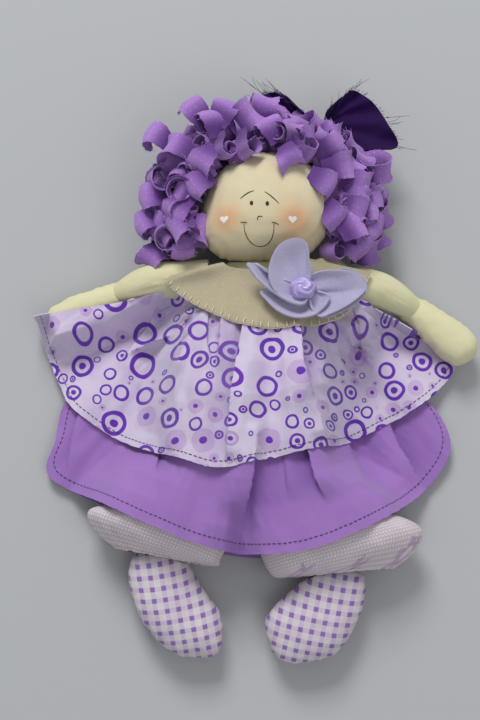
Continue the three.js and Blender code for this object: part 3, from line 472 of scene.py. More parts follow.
def sprig_group() -> bpy.types.NodeTree:
    """Small five-petalled flowers with ragged edges.

    Returns:
        Group with the shares of petals and of hearts.
    """
    tree, graph, given, end = new_group("Sprigs", {"Spacing": 26.0, "Radius": 6.2}, ("Petals", "Heart"))
    density = graph.math("DIVIDE", 1.0, given["Spacing"])
    sockets = {"Vector": given["Vector"], "Scale": density, "Randomness": 0.7}
    cells = graph.add("TexVoronoi", sockets, voronoi_dimensions="2D")
    away = graph.vector("SUBTRACT", given["Vector"], cells.outputs["Position"])
    split = graph.add("SeparateXYZ", {0: away})
    reach = graph.math("MULTIPLY", cells.outputs["Distance"], given["Spacing"])
    turn = graph.math("ARCTAN2", split.outputs[1], split.outputs[0])
    lobes = graph.math("MULTIPLY_ADD", graph.math("COSINE", graph.math("MULTIPLY", turn, 5.0)), 0.2, 0.8)
    tatter = graph.noise(given["Vector"], 0.6, 2.0)
    ragged = graph.math("MULTIPLY", lobes, graph.math("MULTIPLY_ADD", tatter.outputs["Fac"], 1.5, 0.2))
    inside = graph.math("SUBTRACT", graph.math("MULTIPLY", ragged, given["Radius"]), reach)
    middle = graph.math("SUBTRACT", graph.math("MULTIPLY", given["Radius"], 0.28), reach)
    graph.feed(end, {"Petals": graph.step(inside, 0.0, 0.8), "Heart": graph.step(middle, 0.0, 0.5)})
    return tree


class Wardrobe:
    """Builds each material once, from shared groups."""

    def __init__(self) -> None:
        """Makes the shared groups."""
        self.groups = {
            "weave": weave_group(),
            "mottle": mottle_group(),
            "fibres": fibre_group(),
            "gingham": gingham_group(),
            "rings": rings_group(),
            "sprigs": sprig_group(),
        }
        self.made: dict[Cloth, bpy.types.Material] = {}

    def use(self, graph: Graph, name: str, vector: bpy.types.NodeSocket, **values: float) -> dict:
        """Adds a shared group to a material.

        Args:
            graph: Graph of the material.
            name: Key of the group.
            vector: Cloth coordinates in millimetres.
            **values: Numbers of the group's other inputs.

        Returns:
            The group's outputs by name.
        """
        others = {label.capitalize(): value for label, value in values.items()}
        return graph.add("Group", {"Vector": vector, **others}, node_tree=self.groups[name]).outputs

    def pattern(self, graph: Graph, finish: Finish, vector: bpy.types.NodeSocket) -> bpy.types.NodeSocket:
        """Colour of the print or weave before wear.

        Args:
            graph: Graph of the material.
            finish: The finish.
            vector: Cloth coordinates in millimetres.

        Returns:
            Socket of the colour.
        """
        ground, accent, pale = (linear(c) for c in (finish.ground, finish.accent, finish.pale))
        if finish.kind is Print.GINGHAM:
            check = self.use(graph, "gingham", vector, pitch=finish.pitch, duty=0.42)
            return graph.blend(check["Square"], graph.blend(check["Stripe"], ground, pale), accent)
        if finish.kind is Print.SPRIGS:
            check = self.use(graph, "gingham", vector, pitch=finish.pitch, duty=0.5)
            woven = graph.blend(check["Stripe"], pale, ground)
            sprigs = self.use(graph, "sprigs", vector, spacing=31.0, radius=7.6)
            tinted = graph.blend(graph.math("MULTIPLY", sprigs["Petals"], 0.5), woven, accent)
            return graph.blend(graph.math("MULTIPLY", sprigs["Heart"], 0.7), tinted, pale)
        if finish.kind is Print.RINGS:
            rings = self.use(graph, "rings", vector, pitch=finish.pitch)
            return graph.blend(rings["Dark"], graph.blend(rings["Pale"], ground, pale), accent)
        if finish.kind is Print.SPECKS:
            sockets = {"Vector": vector, "Scale": 1 / finish.pitch, "Randomness": 0.35}
            dots = graph.add("TexVoronoi", sockets, voronoi_dimensions="2D")
            speck = graph.math("SUBTRACT", 1.0, graph.step(dots.outputs["Distance"], 0.07, 0.05))
            return graph.blend(graph.math("MULTIPLY", speck, 0.55), ground, pale)
        if finish.kind is Print.FACE:
            blush = graph.add("Attribute", attribute_name="blush")
            return graph.blend(blush.outputs["Fac"], ground, accent)
        return graph.blend(0.0, ground, accent)

    def material(self, cloth: Cloth) -> bpy.types.Material:
        """Material of a cloth.

        Args:
            cloth: Which one.

        Returns:
            The material, made on first use.
        """
        if cloth in self.made:
            return self.made[cloth]
        finish: Finish = cloth.value
        glossy = finish.kind is Print.GLOSS
        made = bpy.data.materials.new(cloth.name.lower())
        made.use_nodes = True
        graph = Graph(made.node_tree)
        shader = made.node_tree.nodes["Principled BSDF"]
        coords = graph.add("UVMap")
        scaled = graph.add("VectorMath", {0: coords.outputs[0], "Scale": 1 / MM}, operation="SCALE")
        vector = scaled.outputs[0]
        if glossy or finish.kind is Print.FELT:
            texture = self.use(graph, "fibres", vector)
        else:
            texture = self.use(graph, "weave", vector, thread=finish.thread)
        drift = self.use(graph, "mottle", vector)["Share"]
        printed = self.pattern(graph, finish, vector)
        # Painted shade: the fold_shade share darkens the print towards the finish's deep colour in the folds'
        # hollows and deep in the hair.
        folds = graph.add("Attribute", attribute_name="fold_shade")
        depth = graph.math("MULTIPLY", folds.outputs["Fac"], FOLD_SHARE, clamp=True)
        colour = graph.blend(depth, printed, linear(finish.deep))
        worn = graph.blend(graph.math("MULTIPLY", drift, finish.mottle * 2), colour, linear(finish.accent))
        # Painted shade: on cloth and felt the low points of the weave or fibres darken the base colour; on
        # the glossy bead this is only the slow drift of colour.
        shade = (
            graph.math("MULTIPLY_ADD", drift, 0.1, 0.9)
            if glossy
            else graph.math("MULTIPLY_ADD", texture["Shade"], 0.24, 0.8)
        )
        tone = graph.add("CombineColor", {0: shade, 1: shade, 2: shade})
        bump = graph.add("Bump", {"Height": texture["Height"]})
        graph.feed(shader, {
            "Base Color": graph.blend(1.0, worn, tone.outputs[0], "MULTIPLY"),
            "Roughness": graph.math("MULTIPLY_ADD", texture["Shade"], 0.1, finish.roughness - 0.05),
            "Normal": bump.outputs[0],
        })
        shader.inputs["Sheen Weight"].default_value = finish.sheen
        shader.inputs["Sheen Roughness"].default_value = 0.5
        shader.inputs["Specular IOR Level"].default_value = 0.5 if glossy else 0.2
        bump.inputs["Strength"].default_value = 0.15 if glossy else 0.55
        bump.inputs["Distance"].default_value = MM * (0.05 if glossy else 0.22)
        self.made[cloth] = made
        return made


WARDROBE = Wardrobe()


# Curves, surfaces and meshes.


def catmull(points: Points, share: float) -> Array:
    """Point on a smooth curve through a list of points.

    Args:
        points: The points.
        share: Place from 0 at the first to 1 at the last.

    Returns:
        The point.
    """
    rows = np.asarray(points, float)
    spot = min(max(share, 0.0), 1.0) * (len(rows) - 1)
    first = min(int(spot), len(rows) - 2)
    part = spot - first
    a, b, c, d = (rows[min(max(first + k, 0), len(rows) - 1)] for k in (-1, 0, 1, 2))
    start, end = (c - a) / 2, (d - b) / 2
    return b + part * (start + part * (3 * (c - b) - 2 * start - end + part * (start + end - 2 * (c - b))))


def plan(shares: Points) -> list[Array]:
    """Plan points from shares of the doll's length.

    Args:
        shares: Pairs of shares.

    Returns:
        Points in millimetres.
    """
    return [np.array(pair, float) * LENGTH + SHIFT for pair in shares]


def ripple(x: float, y: float, z: float = 0.0, size: float = 10.0) -> float:
    """Smooth noise.

    Args:
        x: Place in millimetres.
        y: Place in millimetres.
        z: Place in millimetres, or another seed.
        size: Size of one swell in millimetres.

    Returns:
        Value from about -1 to 1.
    """
    return noise.noise(Vector((x / size, y / size, z / size)))


def smooth(value: float, low: float, high: float) -> float:
    """Smooth rise from 0 at one value to 1 at another.

    Args:
        value: Input.
        low: Where it starts.
        high: Where it ends.

    Returns:
        Share from 0 to 1.
    """
    t = min(max((value - low) / (high - low), 0.0), 1.0)
    return t * t * (3 - 2 * t)


def bump_at(value: float, width: float) -> float:
    """Bell-shaped share that is 1 at zero.

    Args:
        value: Input.
        width: Distance at which it has fallen to about a third.

    Returns:
        Share from 0 to 1.
    """
    return math.exp(-((value / width) ** 2))


def lattice(rows: int, columns: int, at: Callable[[float, float], object]) -> list[list]:
    """Values over a grid.

    Args:
        rows: Steps down.
        columns: Steps across.
        at: Gives the value for a share down and a share across.

    Returns:
        Rows of values.
    """
    return [[at(r / rows, c / columns) for c in range(columns + 1)] for r in range(rows + 1)]


def around(field: Array) -> Array:
    """Mean of each value's four neighbours in a grid.

    Args:
        field: The grid.

    Returns:
        A grid of the same size.
    """
    wide = np.pad(field, 1, mode="edge")
    return (wide[:-2, 1:-1] + wide[2:, 1:-1] + wide[1:-1, :-2] + wide[1:-1, 2:]) / 4


class Trail:
    """Path whose places are found by their distance along it."""

    def __init__(self, path: Points) -> None:
        """Measures the path.

        Args:
            path: Its points in millimetres.
        """
        self.path = np.array(path)
        steps = np.linalg.norm(np.diff(self.path, axis=0), axis=1)
        self.runs = np.concatenate([[0.0], np.cumsum(steps)])
        self.length = float(self.runs[-1])

    def at(self, run: float) -> Array:
        """Place on the path.

        Args:
            run: Distance along it in millimetres.

        Returns:
            The place.
        """
        return np.array([np.interp(run, self.runs, self.path[:, axis]) for axis in range(3)])


class Skin:
    """Surface of CAD nodes or made pieces, for placing things on it."""

    def __init__(self, *objects: bpy.types.Object) -> None:
        """Reads the surfaces.

        Args:
            *objects: The objects.
        """
        self.trees = []
        for obj in objects:
            mesh = bmesh.new()
            mesh.from_mesh(obj.data)
            self.trees.append(BVHTree.FromBMesh(mesh))
            mesh.free()

    def hit(self, origin: Vector, direction: Vector) -> Optional[Vector]:
        """First point that a ray meets.

        Args:
            origin: Start in metres.
            direction: Direction.

        Returns:
            The point in metres, or None.
        """
        spots = [tree.ray_cast(origin, direction)[0] for tree in self.trees]
        found = [spot for spot in spots if spot is not None]
        return min(found, key=lambda spot: (spot - origin).length) if found else None

    def top(self, x: float, y: float) -> Optional[float]:
        """Height of the skin from above.

        Args:
            x: Place in millimetres.
            y: Place in millimetres.

        Returns:
            Height in millimetres, or None beside it.
        """
        spot = self.hit(Vector((x * MM, y * MM, 0.3)), Vector((0, 0, -1)))
        return None if spot is None else spot.z / MM

    def near_top(self, x: float, y: float) -> float:
        """Height of the skin from above, or of its nearest point beside it.

        Args:
            x: Place in millimetres.
            y: Place in millimetres.

        Returns:
            Height in millimetres.
        """
        height = self.top(x, y)
        if height is not None:
            return height
        spot = self.trees[0].find_nearest(Vector((x * MM, y * MM, 0.03)))[0]
        return spot.z / MM


@dataclass(frozen=True)
class PhotoCamera:
    """The photograph's view.

    Attributes:
        centre: Point of the table at the middle of the frame, in millimetres.
        elevation: Angle above the table in degrees.
        distance: Distance from that point in millimetres.
        pixel: Millimetres of the table under one pixel.
        width: Width of the frame in pixels.
        height: Height of the frame in pixels.
    """

    centre: tuple[float, float] = (-10.6, 10.3)
    elevation: float = 79.5
    distance: float = 1000.0
    pixel: float = 0.65
    width: int = 480
    height: int = 720

    def place(self) -> Vector:
        """Camera's place.

        Returns:
            Place in millimetres.
        """
        lift = math.radians(self.elevation)
        return Vector((
            self.centre[0],
            self.centre[1] - self.distance * math.cos(lift),
            self.distance * math.sin(lift),
        ))

    def spot(self, px: float, py: float, height: float) -> Array:
        """Plan point that shows at a pixel, at a given height.

        Args:
            px: Pixel from the left.
            py: Pixel from the top.
            height: Height above the table in millimetres.

        Returns:
            x and y in millimetres.
        """
        lift = math.radians(self.elevation)
        right = (px - self.width / 2) * self.pixel
        up = (self.height / 2 - py) * self.pixel
        start = self.place()
        ray = Vector((right, up * math.sin(lift), up * math.cos(lift))) + Vector((*self.centre, 0.0)) - start
        run = (height - start.z) / ray.z
        return np.array([start.x + ray.x * run, start.y + ray.y * run])

    def pixel_of(self, x: float, y: float, height: float) -> tuple[float, float]:
        """Pixel at which a point shows.

        Args:
            x: Place in millimetres.
            y: Place in millimetres.
            height: Height above the table in millimetres.

        Returns:
            Pixel from the left and from the top.
        """
        lift = math.radians(self.elevation)
        start = self.place()
        run = (0 - start.z) / (height - start.z)
        right = start.x + (x - start.x) * run - self.centre[0]
        back = start.y + (y - start.y) * run - self.centre[1]
        up = back * math.sin(lift) / (1 + back * math.cos(lift) / self.distance)
        return self.width / 2 + right / self.pixel, self.height / 2 - up / self.pixel

    def on(self, px: float, py: float, skin: Skin) -> Optional[Vector]:
        """Point of a surface that shows at a pixel.

        Args:
            px: Pixel from the left.
            py: Pixel from the top.
            skin: The surface.

        Returns:
            The point in metres, or None.
        """
        table = Vector((*self.spot(px, py, 0.0), 0.0))
        start = self.place()
        return skin.hit(start * MM, (table - start).normalized())

    def create(self) -> None:
        """Adds the camera to the scene."""
        data = bpy.data.cameras.new("photo_camera")
        data.sensor_width = 36.0
        half = self.height / 2 * self.pixel / self.distance
        data.lens = data.sensor_width / 2 / half
        obj = bpy.data.objects.new("photo_camera", data)
        bpy.context.scene.collection.objects.link(obj)
        start = self.place()
        obj.location = start * MM
        aim = Vector((*self.centre, 0.0)) - start
        obj.rotation_euler = aim.to_track_quat("-Z", "Y").to_euler()
        bpy.context.scene.camera = obj


PHOTO = PhotoCamera()


class MeshDraft:
    """Points, faces and cloth coordinates of a mesh in the making."""

    def __init__(self) -> None:
        """Starts with nothing."""
        self.points: list[Sequence[float]] = []
        self.faces: list[Sequence[int]] = []
        self.cloth: list[Sequence[float]] = []
        self.shades: list[float] = []

    def add(self, point: Sequence[float], cloth: Sequence[float] = (0.0, 0.0), shade: float = 0.0) -> int:
        """Adds a point.

        Args:
            point: Place in millimetres.
            cloth: Place on the flat cloth in millimetres.
            shade: Share of painted shade there, from 0 to 1, which darkens the colour towards the finish's
                deep colour.

        Returns:
            Its number.
        """
        self.points.append(tuple(float(v) for v in point))
        self.cloth.append(tuple(float(v) for v in cloth[:2]))
        self.shades.append(float(shade))
        return len(self.points) - 1

    def grid(self, rows: Sequence[Sequence[int]], closed: bool = False) -> None:
        """Adds faces between rows of point numbers.

        Args:
            rows: Equal rows.
            closed: Whether each row joins up with its own start.
        """
        for low, high in zip(rows, rows[1:]):
            count = len(low)
            for i in range(count if closed else count - 1):
                j = (i + 1) % count
                self.faces.append((low[i], low[j], high[j], high[i]))

    def surface(self, rows: Sequence[Sequence[tuple]], closed: bool = False) -> list[list[int]]:
        """Adds rows of points and the faces between them.

        Args:
            rows: Place, cloth place and, if wanted, shade of each point.
            closed: Whether each row joins up with its own start.

        Returns:
            Rows of point numbers.
        """
        numbers = [[self.add(*spot) for spot in row] for row in rows]
        self.grid(numbers, closed)
        return numbers

    def tube(self, path: Points, radius: float, sides: int = 6, taper: float = 1.0) -> None:
        """Adds a thread along a path.

        Args:
            path: Points in millimetres.
            radius: Radius in millimetres.
            sides: Number of sides.
            taper: Share of the radius at the ends.
        """
        spots = [Vector(p) for p in path]
        rings = []
        for k, spot in enumerate(spots):
            ahead = spots[min(k + 1, len(spots) - 1)] - spots[max(k - 1, 0)]
            side = ahead.cross(Vector((0.13, 0.07, 1.0))).normalized()
            up = side.cross(ahead).normalized()
            size = radius * (taper if k in (0, len(spots) - 1) else 1.0)
            turns = [math.tau * i / sides for i in range(sides)]
            rings.append([
                (spot + (side * math.cos(t) + up * math.sin(t)) * size, (i * radius, k * radius))
                for i, t in enumerate(turns)
            ])
        numbers = self.surface(rings, closed=True)
        self.faces.extend((tuple(reversed(numbers[0])), tuple(numbers[-1])))

    def build(self, name: str, cloth: Cloth, thickness: float = 0.0, bevel: float = 0.0) -> bpy.types.Object:
        """Makes the object.

        Args:
            name: Its name.
            cloth: Its material.
            thickness: Thickness of the cloth below the drafted surface, in millimetres.
            bevel: Rounding of the cloth's edge in millimetres.

        Returns:
            The object.
        """
        mesh = bpy.data.meshes.new(name)
        mesh.from_pydata([[v * MM for v in p] for p in self.points], [], [list(f) for f in self.faces])
        if thickness and sum(face.normal.z * face.area for face in mesh.polygons) < 0:
            mesh.flip_normals()
        layer = mesh.uv_layers.new(name="cloth")
        corners = np.zeros(len(mesh.loops), int)
        mesh.loops.foreach_get("vertex_index", corners)
        layer.data.foreach_set("uv", (np.asarray(self.cloth)[corners] * MM).ravel())
        if any(self.shades):
            kept = mesh.attributes.new("fold_shade", "FLOAT", "POINT")
            kept.data.foreach_set("value", self.shades)
        obj = bpy.data.objects.new(name, mesh)
        bpy.context.scene.collection.objects.link(obj)
        mesh.materials.append(WARDROBE.material(cloth))
        if thickness:
            wall = obj.modifiers.new("thickness", "SOLIDIFY")
            wall.thickness = thickness * MM
            wall.offset = -1.0
            if bevel:
                edge = obj.modifiers.new("edge", "BEVEL")
                edge.width = bevel * MM
                edge.segments = 2
                edge.angle_limit = math.radians(60)
            bake(obj)
        shade_smooth(obj)
        if thickness:
            obj.data.set_sharp_from_angle(angle=math.radians(48))
        return obj


def shade_smooth(obj: bpy.types.Object) -> None:
    """Shades every face smooth.

    Args:
        obj: The piece.
    """
    obj.data.polygons.foreach_set("use_smooth", [True] * len(obj.data.polygons))
    obj.data.update()


def bake(obj: bpy.types.Object) -> None:
    """Turns a piece's modifiers into its mesh.

    Args:
        obj: The piece.
    """
    graph = bpy.context.evaluated_depsgraph_get()
    solved = obj.evaluated_get(graph)
    shaped = bpy.data.meshes.new_from_object(solved, preserve_all_data_layers=True, depsgraph=graph)
    old = obj.data
    obj.modifiers.clear()
    obj.data = shaped
    bpy.data.meshes.remove(old)


def attach(obj: bpy.types.Object, body: str, slot: str, *nodes: str) -> bpy.types.Object:
    """Lets a piece ride a body and stand for nodes.

    Args:
        obj: The piece.
        body: The CAD body.
        slot: Material slot of the record, not used.
        *nodes: CAD nodes that it stands for.

    Returns:
        The piece.
    """
    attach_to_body(obj, body)
    if nodes:
        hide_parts(*nodes)
    return obj


def points_of(obj: bpy.types.Object) -> Array:
    """Points of a mesh.

    Args:
        obj: The piece.

    Returns:
        Rows of x, y and z in metres.
    """
    flat = np.zeros(len(obj.data.vertices) * 3)
    obj.data.vertices.foreach_get("co", flat)
    return flat.reshape(-1, 3)


def set_points(obj: bpy.types.Object, points: Array) -> None:
    """Moves the points of a mesh.

    Args:
        obj: The piece.
        points: Rows of x, y and z in metres.
    """
    obj.data.vertices.foreach_set("co", points.ravel())
    obj.data.update()


def lay_cloth(obj: bpy.types.Object, turn: float = 0.0) -> None:
    """Gives a stuffed piece the coordinates of its two flat panels.

    Args:
        obj: The piece.
        turn: Direction of the cloth's threads in degrees.
    """
    layer = obj.data.uv_layers.get("cloth") or obj.data.uv_layers.new(name="cloth")
    points = points_of(obj)
    c, s = math.cos(math.radians(turn)), math.sin(math.radians(turn))
    flat = np.column_stack([points[:, 0] * c + points[:, 1] * s, points[:, 1] * c - points[:, 0] * s])
    flat[:, 1] += points[:, 2] * 0.35
    corners = np.zeros(len(obj.data.loops), int)
    obj.data.loops.foreach_get("vertex_index", corners)
    layer.data.foreach_set("uv", flat[corners].ravel())


@dataclass(frozen=True)
class Stuffing:
    """How a stuffed piece is made softer than its solid.

    Attributes:
        voxel: Size of the new faces in millimetres.
        rounds: Rounds of smoothing.
        lump: Height of the lumps in millimetres.
        lump_size: Size of the lumps in millimetres.
        pucker: Depth of the gathers along the seam in millimetres.
        seam: Height of the seam in millimetres.
        reach: Width of the gathers beside the seam in millimetres.
    """

    voxel: float = 1.7
    rounds: int = 6
    lump: float = 0.5
    lump_size: float = 14.0
    pucker: float = 0.6
    seam: float = 15.0
    reach: float = 9.0


def stuffed(name: str, node: str, cloth: Cloth, shape: Stuffing, turn: float = 0.0) -> bpy.types.Object:
    """Soft version of a CAD solid.

    Args:
        name: Name of the new piece.
        node: The CAD node.
        cloth: Its material.
        shape: How it is softened.
        turn: Direction of the threads in degrees.

    Returns:
        The piece, in place of the node.
    """
    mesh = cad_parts[node].data.copy()
    mesh.materials.clear()
    obj = bpy.data.objects.new(name, mesh)
    bpy.context.scene.collection.objects.link(obj)
    remesh = obj.modifiers.new("remesh", "REMESH")
    remesh.mode = "VOXEL"
    remesh.voxel_size = shape.voxel * MM
    soften = obj.modifiers.new("soften", "SMOOTH")
    soften.factor = 0.6
    soften.iterations = shape.rounds
    bake(obj)
    points = points_of(obj)
    normals = np.zeros(len(points) * 3)
    obj.data.vertices.foreach_get("normal", normals)
    rises = np.zeros(len(points))
    for i, (x, y, z) in enumerate(points / MM):
        lump = ripple(x, y, z, shape.lump_size) + 0.45 * ripple(x, y, z, shape.lump_size * 0.4) - 0.1
        fold = shape.pucker * bump_at(z - shape.seam, shape.reach) * ripple(x, y, 7.0, 3.6)
        groove = SEAM_DEPTH * bump_at(z - shape.seam, 0.9) if shape.pucker > 0 else 0.0
        rises[i] = shape.lump * lump + fold - groove
    set_points(obj, points + normals.reshape(-1, 3) * rises[:, None] * MM)
    obj.data.materials.append(WARDROBE.material(cloth))
    lay_cloth(obj, turn)
    shade_smooth(obj)
    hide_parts(node)
    return obj


# Stuffed body.


def ride_body(obj: bpy.types.Object, body: str) -> bpy.types.Object:
    """Lets a stuffed piece ride its CAD body.

    Args:
        obj: The piece.
        body: The CAD body.

    Returns:
        The piece.
    """
    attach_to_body(obj, body)
    return obj


def paint_blush(head: bpy.types.Object, spots: Sequence[tuple[float, float, float]]) -> None:
    """Stores the blush of the cheeks on the head's points.

    Args:
        head: The head.
        spots: x, y and radius of each cheek, in millimetres.
    """
    values = []
    for x, y, z in points_of(head) / MM:
        share = 0.0
        if z > 40:
            for cx, cy, radius in spots:
                away = math.hypot(x - cx, y - cy) / radius
                grain = 0.12 * ripple(x, y, 3.0, 2.5)
                share = max(share, 0.78 * math.exp(-(away ** 2) * 1.1) + grain * math.exp(-away))
        values.append(min(max(share, 0.0), 1.0))
    layer = head.data.attributes.new("blush", "FLOAT", "POINT")
    layer.data.foreach_set("value", values)


def pen_line(draft: MeshDraft, pixels: Points, skin: Skin, width: float) -> None:
    """Adds a drawn line on the face.

    Args:
        draft: Draft that gets it.
        pixels: Points of the line in the photograph.
        skin: The head's surface.
        width: Width of the line in millimetres.
    """
    steps = 14 * (len(pixels) - 1)
    spots = [PHOTO.on(*catmull(pixels, i / steps), skin) for i in range(steps + 1)]
    row = [Vector(s) / MM for s in spots if s is not None]
    lows, highs = [], []
    for k, spot in enumerate(row):
        ahead = row[min(k + 1, len(row) - 1)] - row[max(k - 1, 0)]
        side = Vector((-ahead.y, ahead.x, 0)).normalized()
        press = math.sin(math.pi * min(max(k / (len(row) - 1), 0.06), 0.94))
        half = width / 2 * (0.45 + 0.55 * press) * (1 + 0.15 * ripple(k, 0, 1, 2.0))
        for run, sign in ((lows, -1), (highs, 1)):
            edge = spot + side * half * sign
            run.append(draft.add((edge.x, edge.y, spot.z + INK_RISE), (edge.x, edge.y)))
    draft.grid([lows, highs])


def pen_spot(
    draft: MeshDraft, px: float, py: float, outline: Callable[[float], tuple[float, float]], skin: Skin
) -> None:
    """Adds a small filled shape on the face.

    Args:
        draft: Draft that gets it.
        px: Pixel of its middle.
        py: Pixel of its middle.
        outline: Offset in millimetres at each turn from 0 to 1.
        skin: The head's surface.
    """
    middle = PHOTO.on(px, py, skin) / MM
    hub = draft.add((middle.x, middle.y, middle.z + 0.3), (middle.x, middle.y))
    count = 28
    ring = []
    for i in range(count):
        dx, dy = outline(i / count)
        height = skin.near_top(middle.x + dx, middle.y + dy) + 0.24
        ring.append(draft.add((middle.x + dx, middle.y + dy, height), (middle.x + dx, middle.y + dy)))
    for i in range(count):
        draft.faces.append((hub, ring[i], ring[(i + 1) % count]))


def eye(share: float) -> tuple[float, float]:
    """Outline of an upright oval eye.

    Args:
        share: Turn from 0 to 1.

    Returns:
        Offset in millimetres.
    """
    return 1.05 * math.cos(math.tau * share), 1.4 * math.sin(math.tau * share)


def heart(share: float) -> tuple[float, float]:
    """Outline of a heart about 5 mm wide.

    Args:
        share: Turn from 0 to 1.

    Returns:
        Offset in millimetres.
    """
    t = math.tau * share
    x = 16 * math.sin(t) ** 3
    y = 13 * math.cos(t) - 5 * math.cos(2 * t) - 2 * math.cos(3 * t) - math.cos(4 * t)
    return x * 0.165, y * 0.165


FACE_LINES = (
    (((240.2, 198.8), (244, 195.6), (249, 192.4), (254, 190.6)), 0.62),
    (((264.6, 191.6), (269, 194.4), (274.4, 199), (279, 203.5)), 0.62),
    (((257.2, 220.3), (258.4, 216.6), (262.7, 216.5)), 0.6),
    ((
        (243.9, 223.3), (244.8, 231.5), (248.4, 239.5), (254, 244.8), (260.4, 246.5), (266.6, 244.8),
        (271.2, 239.5), (273.6, 231.5), (274, 223.3),
    ), 0.62),
    (((240.2, 222.5), (243.8, 222.2), (247.3, 222.8)), 0.55),
    (((271.5, 222), (275, 222.8), (279, 224.7)), 0.55),
)
CHEEKS = ((225.6, 218.3, 9.4), (294.8, 219.3, 10.4))
EYES = ((251.5, 203), (267.3, 203.5))
HEARTS = ((224.1, 219.3), (292.6, 219.3))


def make_head() -> None:
    """Head with its drawn face."""
    shape = Stuffing(voxel=1.25, rounds=24, lump=0.55, lump_size=20.0, pucker=1.1, seam=39.0, reach=12.0)
    head = ride_body(stuffed("head_pillow", "head", Cloth.FACE, shape), "head")
    skin = Skin(head)
    cheeks = [(PHOTO.on(px, py, skin) / MM, radius) for px, py, radius in CHEEKS]
    paint_blush(head, [(spot.x, spot.y, radius) for spot, radius in cheeks])
    ink, hearts = MeshDraft(), MeshDraft()
    for pixels, width in FACE_LINES:
        pen_line(ink, pixels, skin, width)
    for draft, spots, outline in ((ink, EYES, eye), (hearts, HEARTS, heart)):
        for px, py in spots:
            pen_spot(draft, px, py, outline, skin)
    attach(ink.build("face_lines", Cloth.INK), "head", "face_cotton")
    attach(hearts.build("cheek_hearts", Cloth.HEART), "head", "face_cotton")


def make_body() -> None:
    """Torso, hips, arms and legs."""
    trunk = Stuffing(voxel=2.2, rounds=5, lump=0.5, pucker=0.5, seam=26.0)
    torso = stuffed("torso_stuffing", "torso", Cloth.SKIN, trunk)
    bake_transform(torso)
    ride_body(stuffed("hip_stuffing", "hips", Cloth.SKIN, trunk), "hips")
    arm = Stuffing(voxel=1.5, rounds=5, lump=0.7, lump_size=11.0, pucker=0.9, seam=14.5, reach=5.0)
    leg = Stuffing(voxel=1.8, rounds=4, lump=0.4, pucker=0.0, seam=18.0)
    foot = Stuffing(voxel=1.4, rounds=5, lump=0.7, lump_size=12.0, pucker=1.0, seam=14.9, reach=6.0)
    for side, turn in (("left", -35.0), ("right", 20.0)):
        ride_body(stuffed(f"{side}_arm", f"arm_{side}", Cloth.SKIN, arm, turn), f"arm_{side}")
    for side, turn in (("left", -12.0), ("right", 10.0)):
        body = f"leg_{side}"
        ride_body(stuffed(f"{side}_leg", body, Cloth.SKIN, leg), body)
        ride_body(stuffed(f"{side}_foot", f"foot_{side}", Cloth.GINGHAM, foot, turn), body)


SHOULDERS = {
    "left": (
        (58, 50, 29, 12.0), (69, 49.5, 28.5, 12.0), (79, 47.5, 26.5, 11.2), (91, 42, 22.0, 9.4),
        (102, 36.5, 14.5, 6.5),
    ),
    "right": (
        (-31, 55, 31, 12.0), (-50, 54, 30, 12.0), (-60, 54.5, 29, 11.6), (-69, 53.5, 27, 11.0),
        (-81, 50, 22.0, 9.3), (-92, 46, 14.5, 6.5),
    ),
}


def make_shoulders() -> None:
    """Gathered cloth where each arm is sewn to the body."""
    sides, steps = 72, 32
    for side, path in SHOULDERS.items():
        rings = []
        for k in range(steps + 1):
            share = k / steps
            x, y, z, radius = catmull(path, share)
            ahead = catmull(path, min(share + 0.02, 1.0)) - catmull(path, max(share - 0.02, 0.0))
            forward = Vector(ahead[:3]).normalized()
            across = forward.cross(Vector((0, 0, 1))).normalized()
            over = across.cross(forward)
            middle = Vector((x + SHIFT[0], y + SHIFT[1], z))
            ring = []
            for i in range(sides):
                turn = math.tau * i / sides
                c, s = math.cos(turn), math.sin(turn)
                tuck = 0.5 * bump_at(share - 0.55, 0.22) * ripple(c * 22, s * 22, k * 0.6, 4.0)
                ring.append((middle + (across * c + over * s) * (radius + tuck), (share * 46, turn * radius)))
            rings.append(ring)
        draft = MeshDraft()
        numbers = draft.surface(rings, closed=True)
        draft.faces.extend((tuple(numbers[0]), tuple(reversed(numbers[-1]))))
        obj = draft.build(f"{side}_shoulder", Cloth.SKIN)
        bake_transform(obj)


# Gathered skirts and bloomers.


@dataclass(frozen=True)
class Tier:
    """One tier of the skirt.

    Attributes:
        name: Start of its pieces' names.
        node: CAD node of its front.
        back: CAD node of its back.
        cloth: Its material.
        gather: Gathered edge, as shares of the doll's length.
        hem: Hem, as shares.
        inset: Distance of the hem stitches from the edge in millimetres.
        wrinkle: Height of the fine folds in millimetres.
        flat: Flat size of the front panel in metres, not used.
        back_flat: Flat size of the back panel in metres, not used.
    """

    name: str
    node: str
    back: str
    cloth: Cloth
    gather: Points
    hem: Points
    inset: float
    wrinkle: float
    flat: tuple[float, float]
    back_flat: tuple[float, float]


